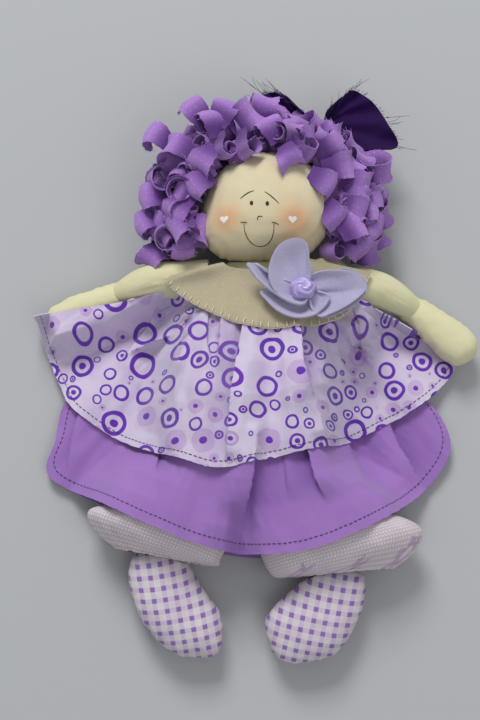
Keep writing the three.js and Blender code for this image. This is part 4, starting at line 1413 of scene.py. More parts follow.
OVER = Tier(
    "overskirt", "overskirt_front", "overskirt_back", Cloth.RINGS,
    gather=(
        (-0.142, 0.128), (-0.11, 0.105), (-0.06, 0.085), (0.005, 0.075), (0.07, 0.078), (0.13, 0.09),
        (0.175, 0.112),
    ),
    hem=(
        (-0.397, 0.086), (-0.381, 0.034), (-0.356, -0.025), (-0.329, -0.071), (-0.247, -0.128),
        (-0.137, -0.173), (-0.07, -0.192), (0.002, -0.179), (0.122, -0.149), (0.213, -0.109),
        (0.29, -0.064), (0.34, -0.017), (0.362, 0.022),
    ),
    inset=3.9, wrinkle=1.7, flat=(0.3, 0.09), back_flat=(0.25, 0.09),
)
UNDER = Tier(
    "underskirt", "underskirt_front", "underskirt_back", Cloth.LILAC,
    gather=(
        (-0.125, 0.06), (-0.085, 0.045), (-0.045, 0.035), (-0.01, 0.03), (0.035, 0.035), (0.08, 0.045),
        (0.118, 0.06),
    ),
    hem=(
        (-0.3, 0.005), (-0.347, -0.062), (-0.36, -0.126), (-0.371, -0.19), (-0.283, -0.238), (-0.189, -0.283),
        (-0.101, -0.318), (-0.015, -0.333), (0.071, -0.329), (0.157, -0.3), (0.249, -0.251), (0.309, -0.2),
        (0.34, -0.144), (0.3275, -0.089), (0.28, -0.03),
    ),
    inset=6.0, wrinkle=1.5, flat=(0.33, 0.115), back_flat=(0.29, 0.105),
)
HUB = plan([(0.012, 0.27)])[0]
WING_FOOT = np.array([-60.0, 30.0]) + SHIFT
WING_WAY = np.array([-0.47, 0.882])
WING_EDGE = -38.0


@dataclass(frozen=True)
class Fold:
    """One laid-over fold of a skirt.

    Attributes:
        path: Its edge in the photograph, from the gathers down.
        height: Height of the raised side in millimetres.
        reach: How far the raised side slopes down, in millimetres.
        side: 1 if the raised side is right of the path, else -1.
        end: Share of the height that is left at the path's end.
    """

    path: Points
    height: float
    reach: float
    side: float
    end: float = 0.0


FOLDS = {
    "overskirt": (
        Fold(((247, 322), (239, 365), (234, 395), (229, 446)), 6.5, 13.0, 1, 0.6),
        Fold(((297, 328), (300, 365), (307.5, 390), (322, 412)), 6.5, 13.0, -1),
        Fold(((206, 316), (205, 345), (212, 375)), 3.6, 7.0, -1),
        Fold(((223, 320), (221, 350), (216, 378)), 3.6, 8.0, 1),
        Fold(((184, 318), (174, 345), (160, 372)), 2.6, 8.0, -1),
        Fold(((360, 316), (371, 347), (384, 358)), 3.0, 9.0, 1),
        Fold(((333, 322), (342, 352), (352, 372)), 2.4, 8.0, -1),
        Fold(((150, 305), (125, 340), (106, 366)), 2.0, 9.0, 1),
    ),
    "underskirt": (
        Fold(((254, 436), (249, 480), (240, 526)), 8.0, 17.0, -1),
        Fold(((307, 430), (317, 477), (329, 505)), 7.5, 17.0, 1),
        Fold(((386, 400), (404, 440), (431, 480)), 6.0, 14.0, -1, 0.3),
        Fold(((155, 425), (154, 474)), 4.4, 9.0, -1),
        Fold(((74, 400), (66, 430), (58, 470)), 2.6, 9.0, 1, 0.3),
        Fold(((284, 440), (288, 480), (292, 505)), 1.8, 6.0, 1),
        Fold(((350, 430), (362, 465), (366, 490)), 2.0, 8.0, -1),
    ),
}

FOLD_PATHS = {
    name: [(fold, [PHOTO.spot(*pixel, FOLD_LEVEL) for pixel in fold.path]) for fold in folds]
    for name, folds in FOLDS.items()
}


def nearest_on(path: Sequence[Array], spot: Array) -> tuple[float, float, float, Array]:
    """Nearest place of a path in plan.

    Args:
        path: Points of the path in millimetres.
        spot: Place in millimetres.

    Returns:
        Distance from the path, distance to its right, share of its length
        that is passed, and the direction of its right.
    """
    best, done = None, 0.0
    for a, b in zip(path, path[1:]):
        step = b - a
        length = float(np.hypot(*step))
        share = min(max(float((spot - a) @ step) / length ** 2, 0.0), 1.0)
        away = spot - (a + step * share)
        reach = float(np.hypot(*away))
        if best is None or reach < best[0]:
            right = np.array([-step[1], step[0]]) / length
            best = (reach, float(away @ right), done + share * length, right)
        done += length
    reach, across, run, right = best
    return reach, across, run / done, right


def lay_folds(tier_name: str, spot: Array) -> tuple[Array, float, float]:
    """Moves a point of a skirt by its laid-over folds.

    Args:
        tier_name: Name of the tier.
        spot: Place in millimetres.

    Returns:
        The shift and the added height in millimetres, and the shade of the fold.
    """
    shift, lift, shade = np.zeros(2), 0.0, 0.0
    for fold, path in FOLD_PATHS[tier_name]:
        reach, across, run, right = nearest_on(path, spot)
        if reach > 4 * fold.reach:
            continue
        across *= fold.side
        strength = (1 - smooth(run, 0.6, 1.0)) * (1 - fold.end) + fold.end
        strength *= bump_at(max(reach - abs(across), 0.0), 7.0)
        height = fold.height * strength
        if across >= 0:
            lift += height * bump_at(across, fold.reach)
            shift -= right * fold.side * FOLD_LEAN * height * math.exp(-across / 3.5)
        else:
            fallen = smooth(-across, 0.0, FOLD_DROP)
            lift += height * (1 - fallen)
            shift -= right * fold.side * height * (FOLD_LEAN - 0.5 * fallen) * math.exp(across / 4.0)
            # Painted shade on the low side beside each raised fold, strongest at the step.
            depth = strength * min(fold.height / 6, 1.0)
            shade = max(shade, depth * math.exp(across / (0.9 * fold.reach)))
    return shift, lift, shade


def pleats(x: float, y: float, size: float) -> float:
    """Height of the fine folds that fan out from the neck.

    Args:
        x: Place in millimetres.
        y: Place in millimetres.
        size: Height of the folds in millimetres.

    Returns:
        Height in millimetres, never below zero.
    """
    away = np.array([x, y]) - HUB
    reach = float(np.hypot(*away))
    bearing = math.degrees(math.atan2(away[0], -away[1]))
    wide = noise.noise(Vector((bearing / 5.5, reach / 90, 1.0)))
    fine = noise.noise(Vector((bearing / 2.4, reach / 60, 5.0)))
    near = smooth(reach, 60, 110)
    gathers = 0.8 * (1 - smooth(reach, 62, 96)) * math.sin(math.radians(bearing) * 70)
    fan = near * (wide + 0.5 * fine + 0.35) + gathers + 0.2
    return max(size * fan, 0.0) + 0.25 * size * (1 + ripple(x, y, 2.0, 14.0))


def clear_below(rows: Laid, below: Skin, gap: float = 1.0) -> None:
    """Lifts a panel where the cloth below it would show through.

    Args:
        rows: Rows of the panel.
        below: Surface of the cloth below.
        gap: Least height above that surface in millimetres.
    """
    lift = np.zeros((len(rows), len(rows[0])))
    for r, row in enumerate(rows):
        for c, (place, *_) in enumerate(row):
            floor = below.top(place[0], place[1])
            if floor is not None:
                lift[r, c] = max(floor + gap - place[2], 0.0)
    spread = lift.copy()
    for _ in range(14):
        spread = np.maximum(lift, around(spread))
    for r, row in enumerate(rows):
        for c, (place, *_) in enumerate(row):
            place[2] += spread[r, c]


def front_rows(tier: Tier, skin: Skin) -> Laid:
    """Points of a draped front panel.

    Args:
        tier: The tier.
        skin: Surface of its CAD node.

    Returns:
        Rows of points.
    """
    gather, hem = plan(tier.gather), plan(tier.hem)

    def lay(down: float, share: float) -> tuple[Array, Array, float]:
        """Point at a share down and a share across."""
        start, end = catmull(gather, share), catmull(hem, share)
        way = end - start
        spot = start + way * down
        edge = smooth(down, 0.9, 1.0)
        fray = 0.35 * edge * ripple(spot[0], spot[1], 9.0, 1.6)
        height = skin.near_top(*(start + way * min(max(down, 0.004), 0.996)))
        height += pleats(spot[0], spot[1], tier.wrinkle) * (1 - 0.3 * edge) + fray
        pull = way / max(np.hypot(*way), 1e-6) * fray * 1.3
        shift, lift, shade = lay_folds(tier.name, spot)
        place = spot + pull + shift * smooth(1 - down, 0.0, 0.08)
        return np.array([*place, height + lift * smooth(down, 0.0, 0.1)]), spot, 0.75 * shade

    return lattice(*FRONT_GRID, lay)


def is_wing(place: Array) -> bool:
    """Whether a point of the overskirt lies over the right arm.

    Args:
        place: Place in millimetres.

    Returns:
        True if it follows that arm.
    """
    return float((place[:2] - WING_FOOT) @ WING_WAY) > 0 and place[0] < WING_EDGE


def is_front(place: Array) -> bool:
    """Whether a point of the overskirt lies on the body.

    Args:
        place: Place in millimetres.

    Returns:
        True if it follows the body.
    """
    return not is_wing(place)


def anywhere(_: Array) -> bool:
    """Keeps every point of a panel.

    Returns:
        True.
    """
    return True


def hem_stitches(rows: Laid, inset: float, keep: Callable[[Array], bool]) -> MeshDraft:
    """Running stitches along the hem.

    Args:
        rows: Rows of the panel.
        inset: Distance from the edge in millimetres.
        keep: Says which stitches to make, by their place.

    Returns:
        Draft of the stitches.
    """
    draft = MeshDraft()
    path = []
    for c in range(len(rows[0])):
        edge, inner = rows[-1][c][0], rows[0][c][0]
        away = np.hypot(*(edge - inner)[:2])
        spot = min(max(1 - inset / away, 0.0), 1.0) * (len(rows) - 1)
        low = min(int(spot), len(rows) - 2)
        place = rows[low][c][0] * (1 - spot + low) + rows[low + 1][c][0] * (spot - low)
        path.append(place + np.array([0, 0, 0.16]))
    trail = Trail(path)
    start = 1.0
    while start + 3.2 < trail.length:
        length = 2.5 + 0.5 * ripple(start, 0, 4, 5.0)
        stitch = [trail.at(start + length * k / 4) for k in range(5)]
        if keep(stitch[2]):
            lifted = [s + np.array([0, 0, lift]) for s, lift in zip(stitch, (-0.3, 0.1, 0.18, 0.1, -0.3))]
            draft.tube(lifted, HEM_THREAD, sides=5, taper=0.6)
        start += length + 0.8 + 0.2 * ripple(start, 3, 4, 3.0)
    return draft


def panel(name: str, rows: Laid, cloth: Cloth, keep: Callable[[Array], bool]) -> bpy.types.Object:
    """Cloth panel from rows of points.

    Args:
        name: Name of the piece.
        rows: Rows of the panel.
        cloth: Its material.
        keep: Says which faces to make, by their middle.

    Returns:
        The piece.
    """
    draft = MeshDraft()
    numbers: dict[tuple[int, int], int] = {}
    for r in range(len(rows) - 1):
        for c in range(len(rows[0]) - 1):
            corners = [(r, c), (r + 1, c), (r + 1, c + 1), (r, c + 1)]
            if not keep(sum(rows[i][j][0] for i, j in corners) / 4):
                continue
            for key in corners:
                if key not in numbers:
                    numbers[key] = draft.add(*rows[key[0]][key[1]])
            draft.faces.append([numbers[key] for key in corners])
    return draft.build(name, cloth, thickness=COTTON)


def hip_blend(obj: bpy.types.Object) -> None:
    """Bakes the placement of a piece of skirt into its mesh.

    Args:
        obj: The piece.
    """
    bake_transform(obj)


def arm_blend(obj: bpy.types.Object) -> None:
    """Bakes the placement of the skirt's wing into its mesh.

    Args:
        obj: The piece.
    """
    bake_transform(obj)


def make_tier(tier: Tier, below: Skin) -> bpy.types.Object:
    """Front and back of one tier, with its hem.

    Args:
        tier: The tier.
        below: Surface of what it lies on.

    Returns:
        The front.
    """
    rows = front_rows(tier, Skin(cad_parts[tier.node]))
    clear_below(rows, below)
    parts = [("front", is_front if tier is OVER else anywhere, hip_blend)]
    if tier is OVER:
        parts.append(("wing", is_wing, arm_blend))
    made = []
    for part, keep, bend in parts:
        name = f"{tier.name}_{part}_cloth"
        cloth = panel(name, rows, tier.cloth, keep)
        stitches = hem_stitches(rows, tier.inset, keep).build(name + "_hem", Cloth.HEM)
        for obj in (cloth, stitches):
            bend(obj)
        made.append((cloth, stitches))
    front, stitches = made[0]
    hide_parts(tier.node)
    back_panel(tier)
    return front


def dress() -> None:
    """Bloomers, the underskirt on them, and the overskirt on that."""
    legs = make_bloomers()
    make_tier(OVER, Skin(make_tier(UNDER, legs)))


def back_panel(tier: Tier) -> None:
    """Back of one tier, flat on the table.

    Args:
        tier: The tier.
    """
    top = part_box(tier.back)[1].z / MM
    gather, hem = plan(tier.gather), plan(tier.hem)

    def lay(down: float, share: float) -> tuple[Array, Array, float]:
        """Point at a share down and a share across."""
        start, end = catmull(gather, share), catmull(hem, share)
        spot = start + (end - start) * down
        return np.array([*spot, top]), spot, 0.0

    obj = panel(tier.name + "_back_cloth", lattice(*BACK_GRID, lay), tier.cloth, anywhere)
    attach(obj, "torso", tier.cloth.value.slot, tier.back)


BLOOMER_BOTTOM = 2.7
BLOOMER_HALF = 21.5
HIP_SHARE = -0.125
BAND = 43.4
SLEEVE_TOP = (-45.0 - 27.0) / LENGTH
SLEEVES = {
    "left": (
        (0.034, SLEEVE_TOP, 2, 20), (0.059, -0.235, 6, 27), (0.104, -0.28, 12, 40), (0.144, -0.318, 15, 49),
        (0.152, -0.343, 12, 45), (0.149, -0.36, 5, 30),
    ),
    "right": (
        (-0.078, SLEEVE_TOP, -2, 20), (-0.102, -0.232, -8, 26), (-0.144, -0.268, -15, 37),
        (-0.179, -0.296, -20, 44), (-0.18, -0.317, -17, 41), (-0.171, -0.335, -11, 28),
    ),
}
SLEEVE_PUFFS = (0.0, 0.8, 0.8, -0.2, -3.5, -9.0)


def squared(turn: float) -> tuple[float, float]:
    """Point of a slightly squared circle.

    Args:
        turn: Angle in radians.

    Returns:
        Offset across and up, from -1 to 1.
    """
    c, s = math.cos(turn), math.sin(turn)
    return math.copysign(abs(c) ** SQUARENESS, c), math.copysign(abs(s) ** SQUARENESS, s)


def sleeve_draft(rows: Points, steps: int, sides: int, fold: float, cuff: bool) -> MeshDraft:
    """Gathered cotton sleeve.

    Args:
        rows: x share, y share, slant in degrees, half width, half depth and middle of each row.
        steps: Rings along it.
        sides: Points round it.
        fold: Height of its folds in millimetres.
        cuff: Whether its last end is an open, gathered cuff.

    Returns:
        Draft of the outer skin.
    """
    rings = []
    length, last = 0.0, None
    for k in range(steps + 1):
        share = k / steps
        x, y, slant, wide, deep, middle = catmull(rows, share)
        centre = np.array([x, y]) * LENGTH + SHIFT
        length += 0 if last is None else float(np.hypot(*(centre - last)))
        last = centre
        lean = math.radians(slant)
        gather = 0.35 + (smooth(share, 0.55, 1.0) if cuff else 0.3)
        ring: list[tuple[Array, tuple[float, float]]] = []
        run = 0.0
        for i in range(sides):
            turn = math.tau * i / sides
            c, s = math.cos(turn), math.sin(turn)
            across, up = squared(turn)
            pleat = math.sin(turn * 13 + 2.2 * math.sin(turn * 3)) * 0.5
            lift = min(fold * gather * (pleat + ripple(c * wide, s * 22, length, 9.0)), 0.6) - 0.55
            ragged = 0.8 * ripple(turn * 9, 1, 2, 1.0) if cuff and k == steps else 0
            out = across * wide + c * lift
            place = np.array([
                centre[0] + out * math.cos(lean),
                centre[1] + out * math.sin(lean) + ragged,
                middle + up * deep + s * lift,
            ])
            run += float(np.linalg.norm(place - ring[-1][0])) if ring else 0
            ring.append((place, (run, length)))
        rings.append(ring)
    draft = MeshDraft()
    draft.surface(rings, closed=True)
    return draft


def cuff_stitches(rows: Points) -> MeshDraft:
    """Small stitches round the cuff of one leg.

    Args:
        rows: Rows of the leg.

    Returns:
        Draft of the stitches.
    """
    draft = MeshDraft()
    x, y, slant, wide, deep, middle = catmull(rows, 0.96)
    centre = np.array([x, y]) * LENGTH + SHIFT
    lean = math.radians(slant)
    for i in range(0, 96, 2):
        path = []
        for k in range(4):
            across, up = squared(math.tau * (i + k * 0.4) / 96)
            out = across * (wide + 0.1)
            spot = centre + out * np.array([math.cos(lean), math.sin(lean)])
            path.append((*spot, middle + up * (deep + 0.1)))
        draft.tube(path, CUFF_THREAD, sides=5, taper=0.6)
    return draft


def make_bloomers() -> Skin:
    """Waistband, seat and the two legs of the bloomers.

    Returns:
        Their surface.
    """
    legs = []
    middle = BLOOMER_BOTTOM + BLOOMER_HALF
    for side, shapes in SLEEVES.items():
        rows = [(*shape, BLOOMER_HALF + puff, middle + puff) for shape, puff in zip(shapes, SLEEVE_PUFFS)]
        draft = sleeve_draft(rows, *LEG_GRID, fold=1.3, cuff=True)
        obj = draft.build(f"bloomers_{side}_cloth", Cloth.BLOOMER, thickness=COTTON)
        attach(obj, f"leg_{side}", "bloomer_check", f"bloomers_leg_{side}")
        legs.append(obj)
        thread = cuff_stitches(rows).build(f"bloomers_{side}_stitches", Cloth.SKIN_THREAD)
        attach(thread, f"leg_{side}", "bloomer_check")
    bottom = HIP_SHARE + 0.06
    trunk = (BAND, 23.3, 26.3)
    waist = [(-0.014, -0.02, 0, *trunk), (-0.017, bottom, 0, *trunk)]
    seat = [
        (-0.0175, bottom - 0.0017, 0, *trunk),
        (-0.02, HIP_SHARE, 0, *trunk),
        (-0.022, SLEEVE_TOP + 0.0025, 0, BAND, BLOOMER_HALF, middle),
    ]
    draft = sleeve_draft(waist, *BELT_GRID, fold=0.5, cuff=False)
    belt = draft.build("waistband_cloth", Cloth.BLOOMER, thickness=COTTON)
    attach(belt, "torso", "bloomer_check", "bloomers_waistband")
    draft = sleeve_draft(seat, *SEAT_GRID, fold=0.5, cuff=False)
    rear = draft.build("seat_cloth", Cloth.BLOOMER, thickness=COTTON)
    hip_blend(rear)
    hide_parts("bloomers_seat")
    return Skin(*legs, rear, belt)


# Collar, flower and button.

COLLAR_NECK = (
    (-0.065, 0.171), (-0.055, 0.16), (-0.035, 0.155), (0.008, 0.152), (0.05, 0.155), (0.074, 0.162),
    (0.086, 0.176),
)
COLLAR_EDGE = (
    (-0.163, 0.153), (-0.154, 0.128), (-0.101, 0.087), (-0.024, 0.0525), (0.053, 0.049), (0.145, 0.074),
    (0.196, 0.156),
)
BACK_NECK = ((-0.07, 0.167), (0.008, 0.158), (0.086, 0.171))
BACK_EDGE = ((-0.15, 0.14), (-0.11, 0.085), (0.01, 0.055), (0.13, 0.08), (0.18, 0.145))


def felt_sheet(
    name: str, node: str, span: tuple[float, float], below: Skin
) -> tuple[bpy.types.Object, list[Array]]:
    """Felt piece of the collar, lying as its CAD node does.

    Args:
        name: Name of the piece.
        node: The CAD node.
        span: Part of the collar's curves that it covers.
        below: Surface of the skirt below it.

    Returns:
        The piece and the points of its outer edge.
    """
    skin = Skin(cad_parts[node])
    neck, rim = plan(COLLAR_NECK), plan(COLLAR_EDGE)

    def lay(out: float, across: float) -> tuple[Array, float]:
        """Plan point at a share out and a share across, and its height."""
        share = span[0] + (span[1] - span[0]) * across
        a, b = catmull(neck, share), catmull(rim, share)
        held = a + (b - a) * min(max(out, 0.04), 0.94)
        return a + (b - a) * out, skin.near_top(*held)

    spots = lattice(*COLLAR_GRID, lay)
    heights = np.array([[height for _, height in row] for row in spots])
    for _ in range(60):
        heights = around(heights)
    laid = [
        [(np.array([*spot, height]), spot, 0.0) for (spot, _), height in zip(row, line)]
        for row, line in zip(spots, heights)
    ]
    clear_below(laid, below, FELT_THICK + 0.3)
    for row in laid:
        for place, spot, _ in row:
            place[2] += 0.25 * ripple(*spot, 3.0, 9.0)
    draft = MeshDraft()
    draft.surface(laid)
    obj = draft.build(name, Cloth.FELT, thickness=FELT_THICK, bevel=FELT_BEVEL)
    return attach(obj, "torso", "beige_felt", node), [place for place, _, _ in laid[-1]]


def blanket_stitches(name: str, edge: Sequence[Array], centre: Array) -> bpy.types.Object:
    """Blanket stitches over a felt edge.

    Args:
        name: Name of the piece.
        edge: Points of the edge.
        centre: Point that the stitches aim at.

    Returns:
        The stitches.
    """
    draft = MeshDraft()
    trail = Trail(edge)
    outline = [trail.at(run) for run in np.arange(0, trail.length, 1.0)]
    rim = []
    for k, spot in enumerate(outline):
        ahead = outline[min(k + 1, len(outline) - 1)] - outline[max(k - 1, 0)]
        out = np.array([ahead[1], -ahead[0], 0.0])
        out /= max(np.linalg.norm(out), 1e-6)
        if out[:2] @ (spot[:2] - centre) < 0:
            out = -out
        rim.append((spot, out))
    draft.tube([s + o * 0.35 + np.array([0, 0, -FELT_THICK * 0.4]) for s, o in rim], EDGE_THREAD, sides=6)
    place = 2.0
    while place < len(rim) - 2:
        jitter = ripple(place, 1.0, 2.0, 3.0)
        spot, out = rim[int(place)]
        side = np.array([-out[1], out[0], 0.0]) * 0.35 * jitter
        shape = (
            (0.45, 0, -FELT_THICK * 0.45), (0.3, 0, 0.28), (-1.5, 1, 0.42),
            (-3.0 - 0.4 * jitter, 2, 0.28), (-3.2 - 0.4 * jitter, 2, -0.5),
        )
        path = [spot + out * away + side * beside + np.array([0, 0, rise]) for away, beside, rise in shape]
        draft.tube(path, BITE_THREAD, sides=6, taper=0.8)
        place += BITE_GAP + 0.35 * jitter
    return attach(draft.build(name, Cloth.CREAM_THREAD), "torso", "beige_felt")


def make_collar() -> None:
    """Collar in two lapped ends and its back."""
    skirt = Skin(*(bpy.data.objects[name] for name in ("overskirt_front_cloth", "overskirt_wing_cloth")))
    centre = plan([(0.012, 0.2)])[0]
    lap, lap_edge = felt_sheet("collar_lap_felt", "collar_lap", (0.0, 0.7), skirt)
    under, under_edge = felt_sheet("collar_under_felt", "collar_under", (0.62, 1.0), skirt)
    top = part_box("collar_back")[1].z / MM
    neck, rim = plan(BACK_NECK), plan(BACK_EDGE)

    def lay(out: float, share: float) -> tuple[tuple, Array]:
        """Point at a share out and a share across."""
        a, b = catmull(neck, share), catmull(rim, share)
        spot = a + (b - a) * out
        return (*spot, top), spot

    back = MeshDraft()
    back.surface(lattice(*BACK_COLLAR_GRID, lay))
    rear = back.build("collar_back_felt", Cloth.FELT, thickness=BACK_FELT_THICK, bevel=THIN_FELT_BEVEL)
    attach(rear, "torso", "beige_felt", "collar_back")
    lap_thread = blanket_stitches("collar_lap_stitches", lap_edge, centre)
    under_thread = blanket_stitches("collar_under_stitches", under_edge[30:], centre)


@dataclass(frozen=True)
class Petal:
    """One felt petal.

    Attributes:
        node: CAD node that it stands for.
        rim: Outline from the root round the tip and back, as pixels and heights in millimetres.
        root: Pixel and height of the middle of the root.
        fold: Height of the pinch along the middle in millimetres.
        cup: How far the rim turns up in millimetres.
    """

    node: str
    rim: Points
    root: tuple[float, float, float]
    fold: float
    cup: float


PETALS = (
    Petal(
        "petal_under",
        ((318, 284, 61), (340, 269.5, 61), (354, 271, 61), (363, 277, 61), (367, 287, 61), (363, 297, 62),
         (352, 306, 62), (338, 313, 62), (326, 317, 62), (314, 304, 62)),
        (308, 292, 61), 0.0, 0.8,
    ),
    Petal(
        "petal_front",
        ((290, 290, 63), (261, 290.5, 64), (268, 302, 65), (278, 311, 66), (290, 316.5, 66.5),
         (302, 317.5, 66.5), (314, 315, 66.5), (322, 309, 66.5), (327, 303, 66.5), (328.5, 296, 66),
         (317, 292, 63.5)),
        (303, 293, 63), -1.5, 1.6,
    ),
    Petal(
        "petal_left",
        ((308, 278, 66), (320, 272, 67), (335, 271, 67), (350, 272, 67), (359, 277, 66.5), (365, 286, 66),
         (364, 292, 66), (354, 301, 66), (342, 308.5, 66), (330, 314, 66), (320, 317, 66), (313, 308, 65),
         (311, 300, 65)),
        (306, 291, 65), -2.4, 1.4,
    ),
    Petal(
        "petal_right",
        ((294, 284, 66), (268, 274, 67), (256, 265, 67), (247, 264, 68), (254, 275, 68), (264, 285, 68.5),
         (281, 297, 69), (294, 303.5, 69), (303, 304, 68.5), (307, 299, 67)),
        (299, 290, 65.5), -2.0, 1.8,
    ),
    Petal(
        "petal_top",
        ((286, 298, 67), (275, 291, 70), (270, 280, 71.5), (269.5, 269, 72), (272, 258, 72.5),
         (279, 246, 73), (288, 240, 73), (298, 238.5, 72.5), (305, 242, 72), (307.5, 250, 71),
         (308.5, 259, 70), (311, 268, 69), (309, 280, 67)),
        (301, 290, 66.5), -2.6, 1.0,
    ),
)


def make_petal(petal: Petal) -> bpy.types.Object:
    """Pinched felt petal.

    Args:
        petal: Its shape.

    Returns:
        The petal.
    """
    root = np.array([*PHOTO.spot(*petal.root), petal.root[2]])
    rim = [np.array([*PHOTO.spot(*p), p[2]]) for p in petal.rim]

    def lay(out: float, share: float) -> tuple[Array, Array]:
        """Point at a share out and a share round the rim."""
        tip = catmull(rim, share)
        foot = root + (tip - root) * 0.04
        spot = foot + (tip - foot) * out
        ridge = math.sin(math.pi * min(out * 1.15, 1.0)) * (1 - 0.5 * out)
        pinch = petal.fold * bump_at(share - 0.5, 0.09) * ridge
        turned = petal.cup * smooth(out, 0.6, 1.0) - 1.6 * math.sin(math.pi * out)
        wave = 0.5 * out * ripple(share * 30, out * 6, root[0], 4.0)
        return spot + np.array([0, 0, pinch + turned + wave]), spot[:2]

    draft = MeshDraft()
    draft.surface(lattice(*PETAL_GRID, lay))
    obj = draft.build(petal.node + "_felt", Cloth.PETAL, thickness=PETAL_THICK, bevel=THIN_FELT_BEVEL)
    return attach(obj, "torso", "petal_felt", petal.node)


def make_flower() -> None:
    """Petals and the rose button."""
    for petal in PETALS:
        obj = make_petal(petal)
    low, high = (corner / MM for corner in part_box("rose_button"))
    middle, half = (low + high) / 2, (high - low) / 2
    sides, steps = 96, 40
    rings = []
    for r in range(steps + 1):
        share = r / steps
        ring = []
        for i in range(sides):
            turn = math.tau * i / sides
            swirl = 0.5 + 0.5 * math.sin(3 * turn - 15 * share)
            ridge = 0.16 * (swirl ** 0.6) * math.sin(math.pi * min(share * 1.15, 1.0))
            reach = math.sin(math.pi / 2 * share) * (1 + 0.05 * math.sin(5 * turn))
            rise = math.cos(math.pi / 2 * share) * 0.9 + ridge
            place = (
                middle.x + reach * half.x * math.cos(turn),
                middle.y + reach * half.y * math.sin(turn),
                low.z + rise * half.z * 2,
            )
            ring.append((place, (turn * 4, share * 8)))
        rings.append(ring)
    draft = MeshDraft()
    draft.faces.append(tuple(draft.surface(rings, closed=True)[-1]))
    attach(draft.build("rose_button_bead", Cloth.BUTTON), "torso", "rose_button", "rose_button")


# Hair and bow.


@dataclass(frozen=True)
class Curl:
    """One cotton strip of the hair, tied at one end.

    Attributes:
        px: Pixel of the middle of its curl.
        py: Pixel of the middle of its curl.
        height: Height of the curl's middle in millimetres.
        yaw: Direction from its tie to its curl, in degrees from the right of the photograph.
        tilt: Turn of the roll about that direction; 90 shows its end from above.
        radius: Radius of the curl in millimetres.
        turns: Turns of the curl.
        width: Width of the strip in millimetres.
        tail: Length of the flat part towards the tie in millimetres.
    """

    px: float
    py: float
    height: float
    yaw: float
    tilt: float = 0.0
    radius: float = 6.5
    turns: float = 1.1
    width: float = 16.0
    tail: float = 12.0


def curl_spot(curl: Curl, share: float) -> tuple[float, float]:
    """Point of a curl's centre line in its own plane: along and up.

    Args:
        curl: The curl.
        share: Place from its tie, 0, to its cut end, 1.

    Returns:
        Offset in millimetres from the curl's middle.
    """
    tail = 0.28
    if share < tail:
        run = share / tail
        return -curl.tail * (1 - run), curl.radius * (0.35 + 0.65 * smooth(run, 0, 1))
    run = (share - tail) / (1 - tail)
    turn = math.pi / 2 - 2 * math.pi * curl.turns * run
    reach = curl.radius * (1 - 0.4 * run * min(curl.turns, 1.0))
    return reach * math.cos(turn), reach * math.sin(turn)


def add_strip(draft: MeshDraft, fringe: MeshDraft, curl: Curl, rng: random.Random) -> None:
    """Adds one strip with frayed edges.

    Args:
        draft: Draft of the strips.
        fringe: Draft of the loose threads.
        curl: The strip.
        rng: Source of chance.
    """
    centre = Vector((*PHOTO.spot(curl.px, curl.py, curl.height), curl.height))
    yaw, tilt = math.radians(curl.yaw), math.radians(curl.tilt)
    along = Vector((math.cos(yaw), math.sin(yaw), 0))
    side = Vector((-math.sin(yaw), math.cos(yaw), 0))
    up = Vector((0, 0, 1))
    raised = up * math.cos(tilt) - side * math.sin(tilt)
    wide = side * math.cos(tilt) + up * math.sin(tilt)
    across, steps = 9, 16 + int(16 * curl.turns)
    gutter = rng.choice((-1, 1)) * rng.uniform(0.8, 3.4)
    twist = math.radians(rng.uniform(-34, 34))
    slant = rng.uniform(-0.32, 0.32)
    seed = rng.uniform(0, 90)
    offset = (rng.uniform(0, 400), rng.uniform(0, 400))
    reach = curl.tail + math.tau * curl.radius * curl.turns

    def lay(share: float, beside: float) -> tuple[Vector, tuple[float, float], float]:
        """Point at a share along the strip and a share across it."""
        u = 2 * beside - 1
        rag = rng.uniform(-0.5, 0.5) if abs(u) == 1 else 0.0
        place = u / 2 * curl.width * (0.66 + 0.34 * smooth(share, 0.0, 0.3)) + rag
        here = share * (1 + slant * u * share) + (rng.uniform(-0.02, 0.02) if share == 1 else 0.0)
        forward, rise = curl_spot(curl, here)
        radial = (along * forward + raised * rise).normalized()
        lean = twist * (share - 0.3)
        flat = wide * math.cos(lean) + radial * math.sin(lean)
        wave = 0.7 * ripple(share * reach, place, seed, 7.0) + gutter * u * u * smooth(share, 0.15, 0.7)
        spot = centre + along * forward + raised * rise + flat * place + radial * wave
        # Painted shade: the strip is darkened near its tie, inside a full roll and where it lies low in the
        # hair.
        inside = smooth(share, 0.55, 0.9) * smooth(curl.turns, 0.7, 1.0)
        shade = max(1 - smooth(share, 0.1, 0.42), inside, 0.75 * (1 - smooth(spot.z, 22, 46)))
        return spot, (here * reach + offset[0], place + offset[1]), shade

    rows = draft.surface(lattice(steps, across - 1, lay))
    ends = [(Vector(draft.points[a]), Vector(draft.points[b])) for a, b in zip(rows[-1], rows[-2])]
    for _ in range(9):
        tip, inner = rng.choice(ends)
        add_thread(fringe, tip, tip - inner, rng.uniform(1.0, 3.6), rng)
    for _ in range(8):
        row = rows[rng.randrange(4, len(rows) - 1)]
        rim, inner = rng.choice(((row[0], row[2]), (row[-1], row[-3])))
        start = Vector(draft.points[rim])
        add_thread(fringe, start, start - Vector(draft.points[inner]), rng.uniform(0.7, 2.4), rng)


def add_thread(fringe: MeshDraft, start: Vector, way: Vector, length: float, rng: random.Random) -> None:
    """Adds one loose thread to a frayed edge.

    Args:
        fringe: Draft of the threads.
        start: Its root in millimetres.
        way: Direction that it leaves in.
        length: Its length in millimetres.
        rng: Source of chance.
    """
    bend = Vector((rng.uniform(-1, 1), rng.uniform(-1, 1), rng.uniform(-1, 0.6))) * length * 0.35
    ahead = way.normalized() * length
    path = [start + ahead * k / 4 + bend * (k / 4) ** 2 for k in range(5)]
    fringe.tube(path, THREAD_RADIUS, sides=3, taper=0.7)


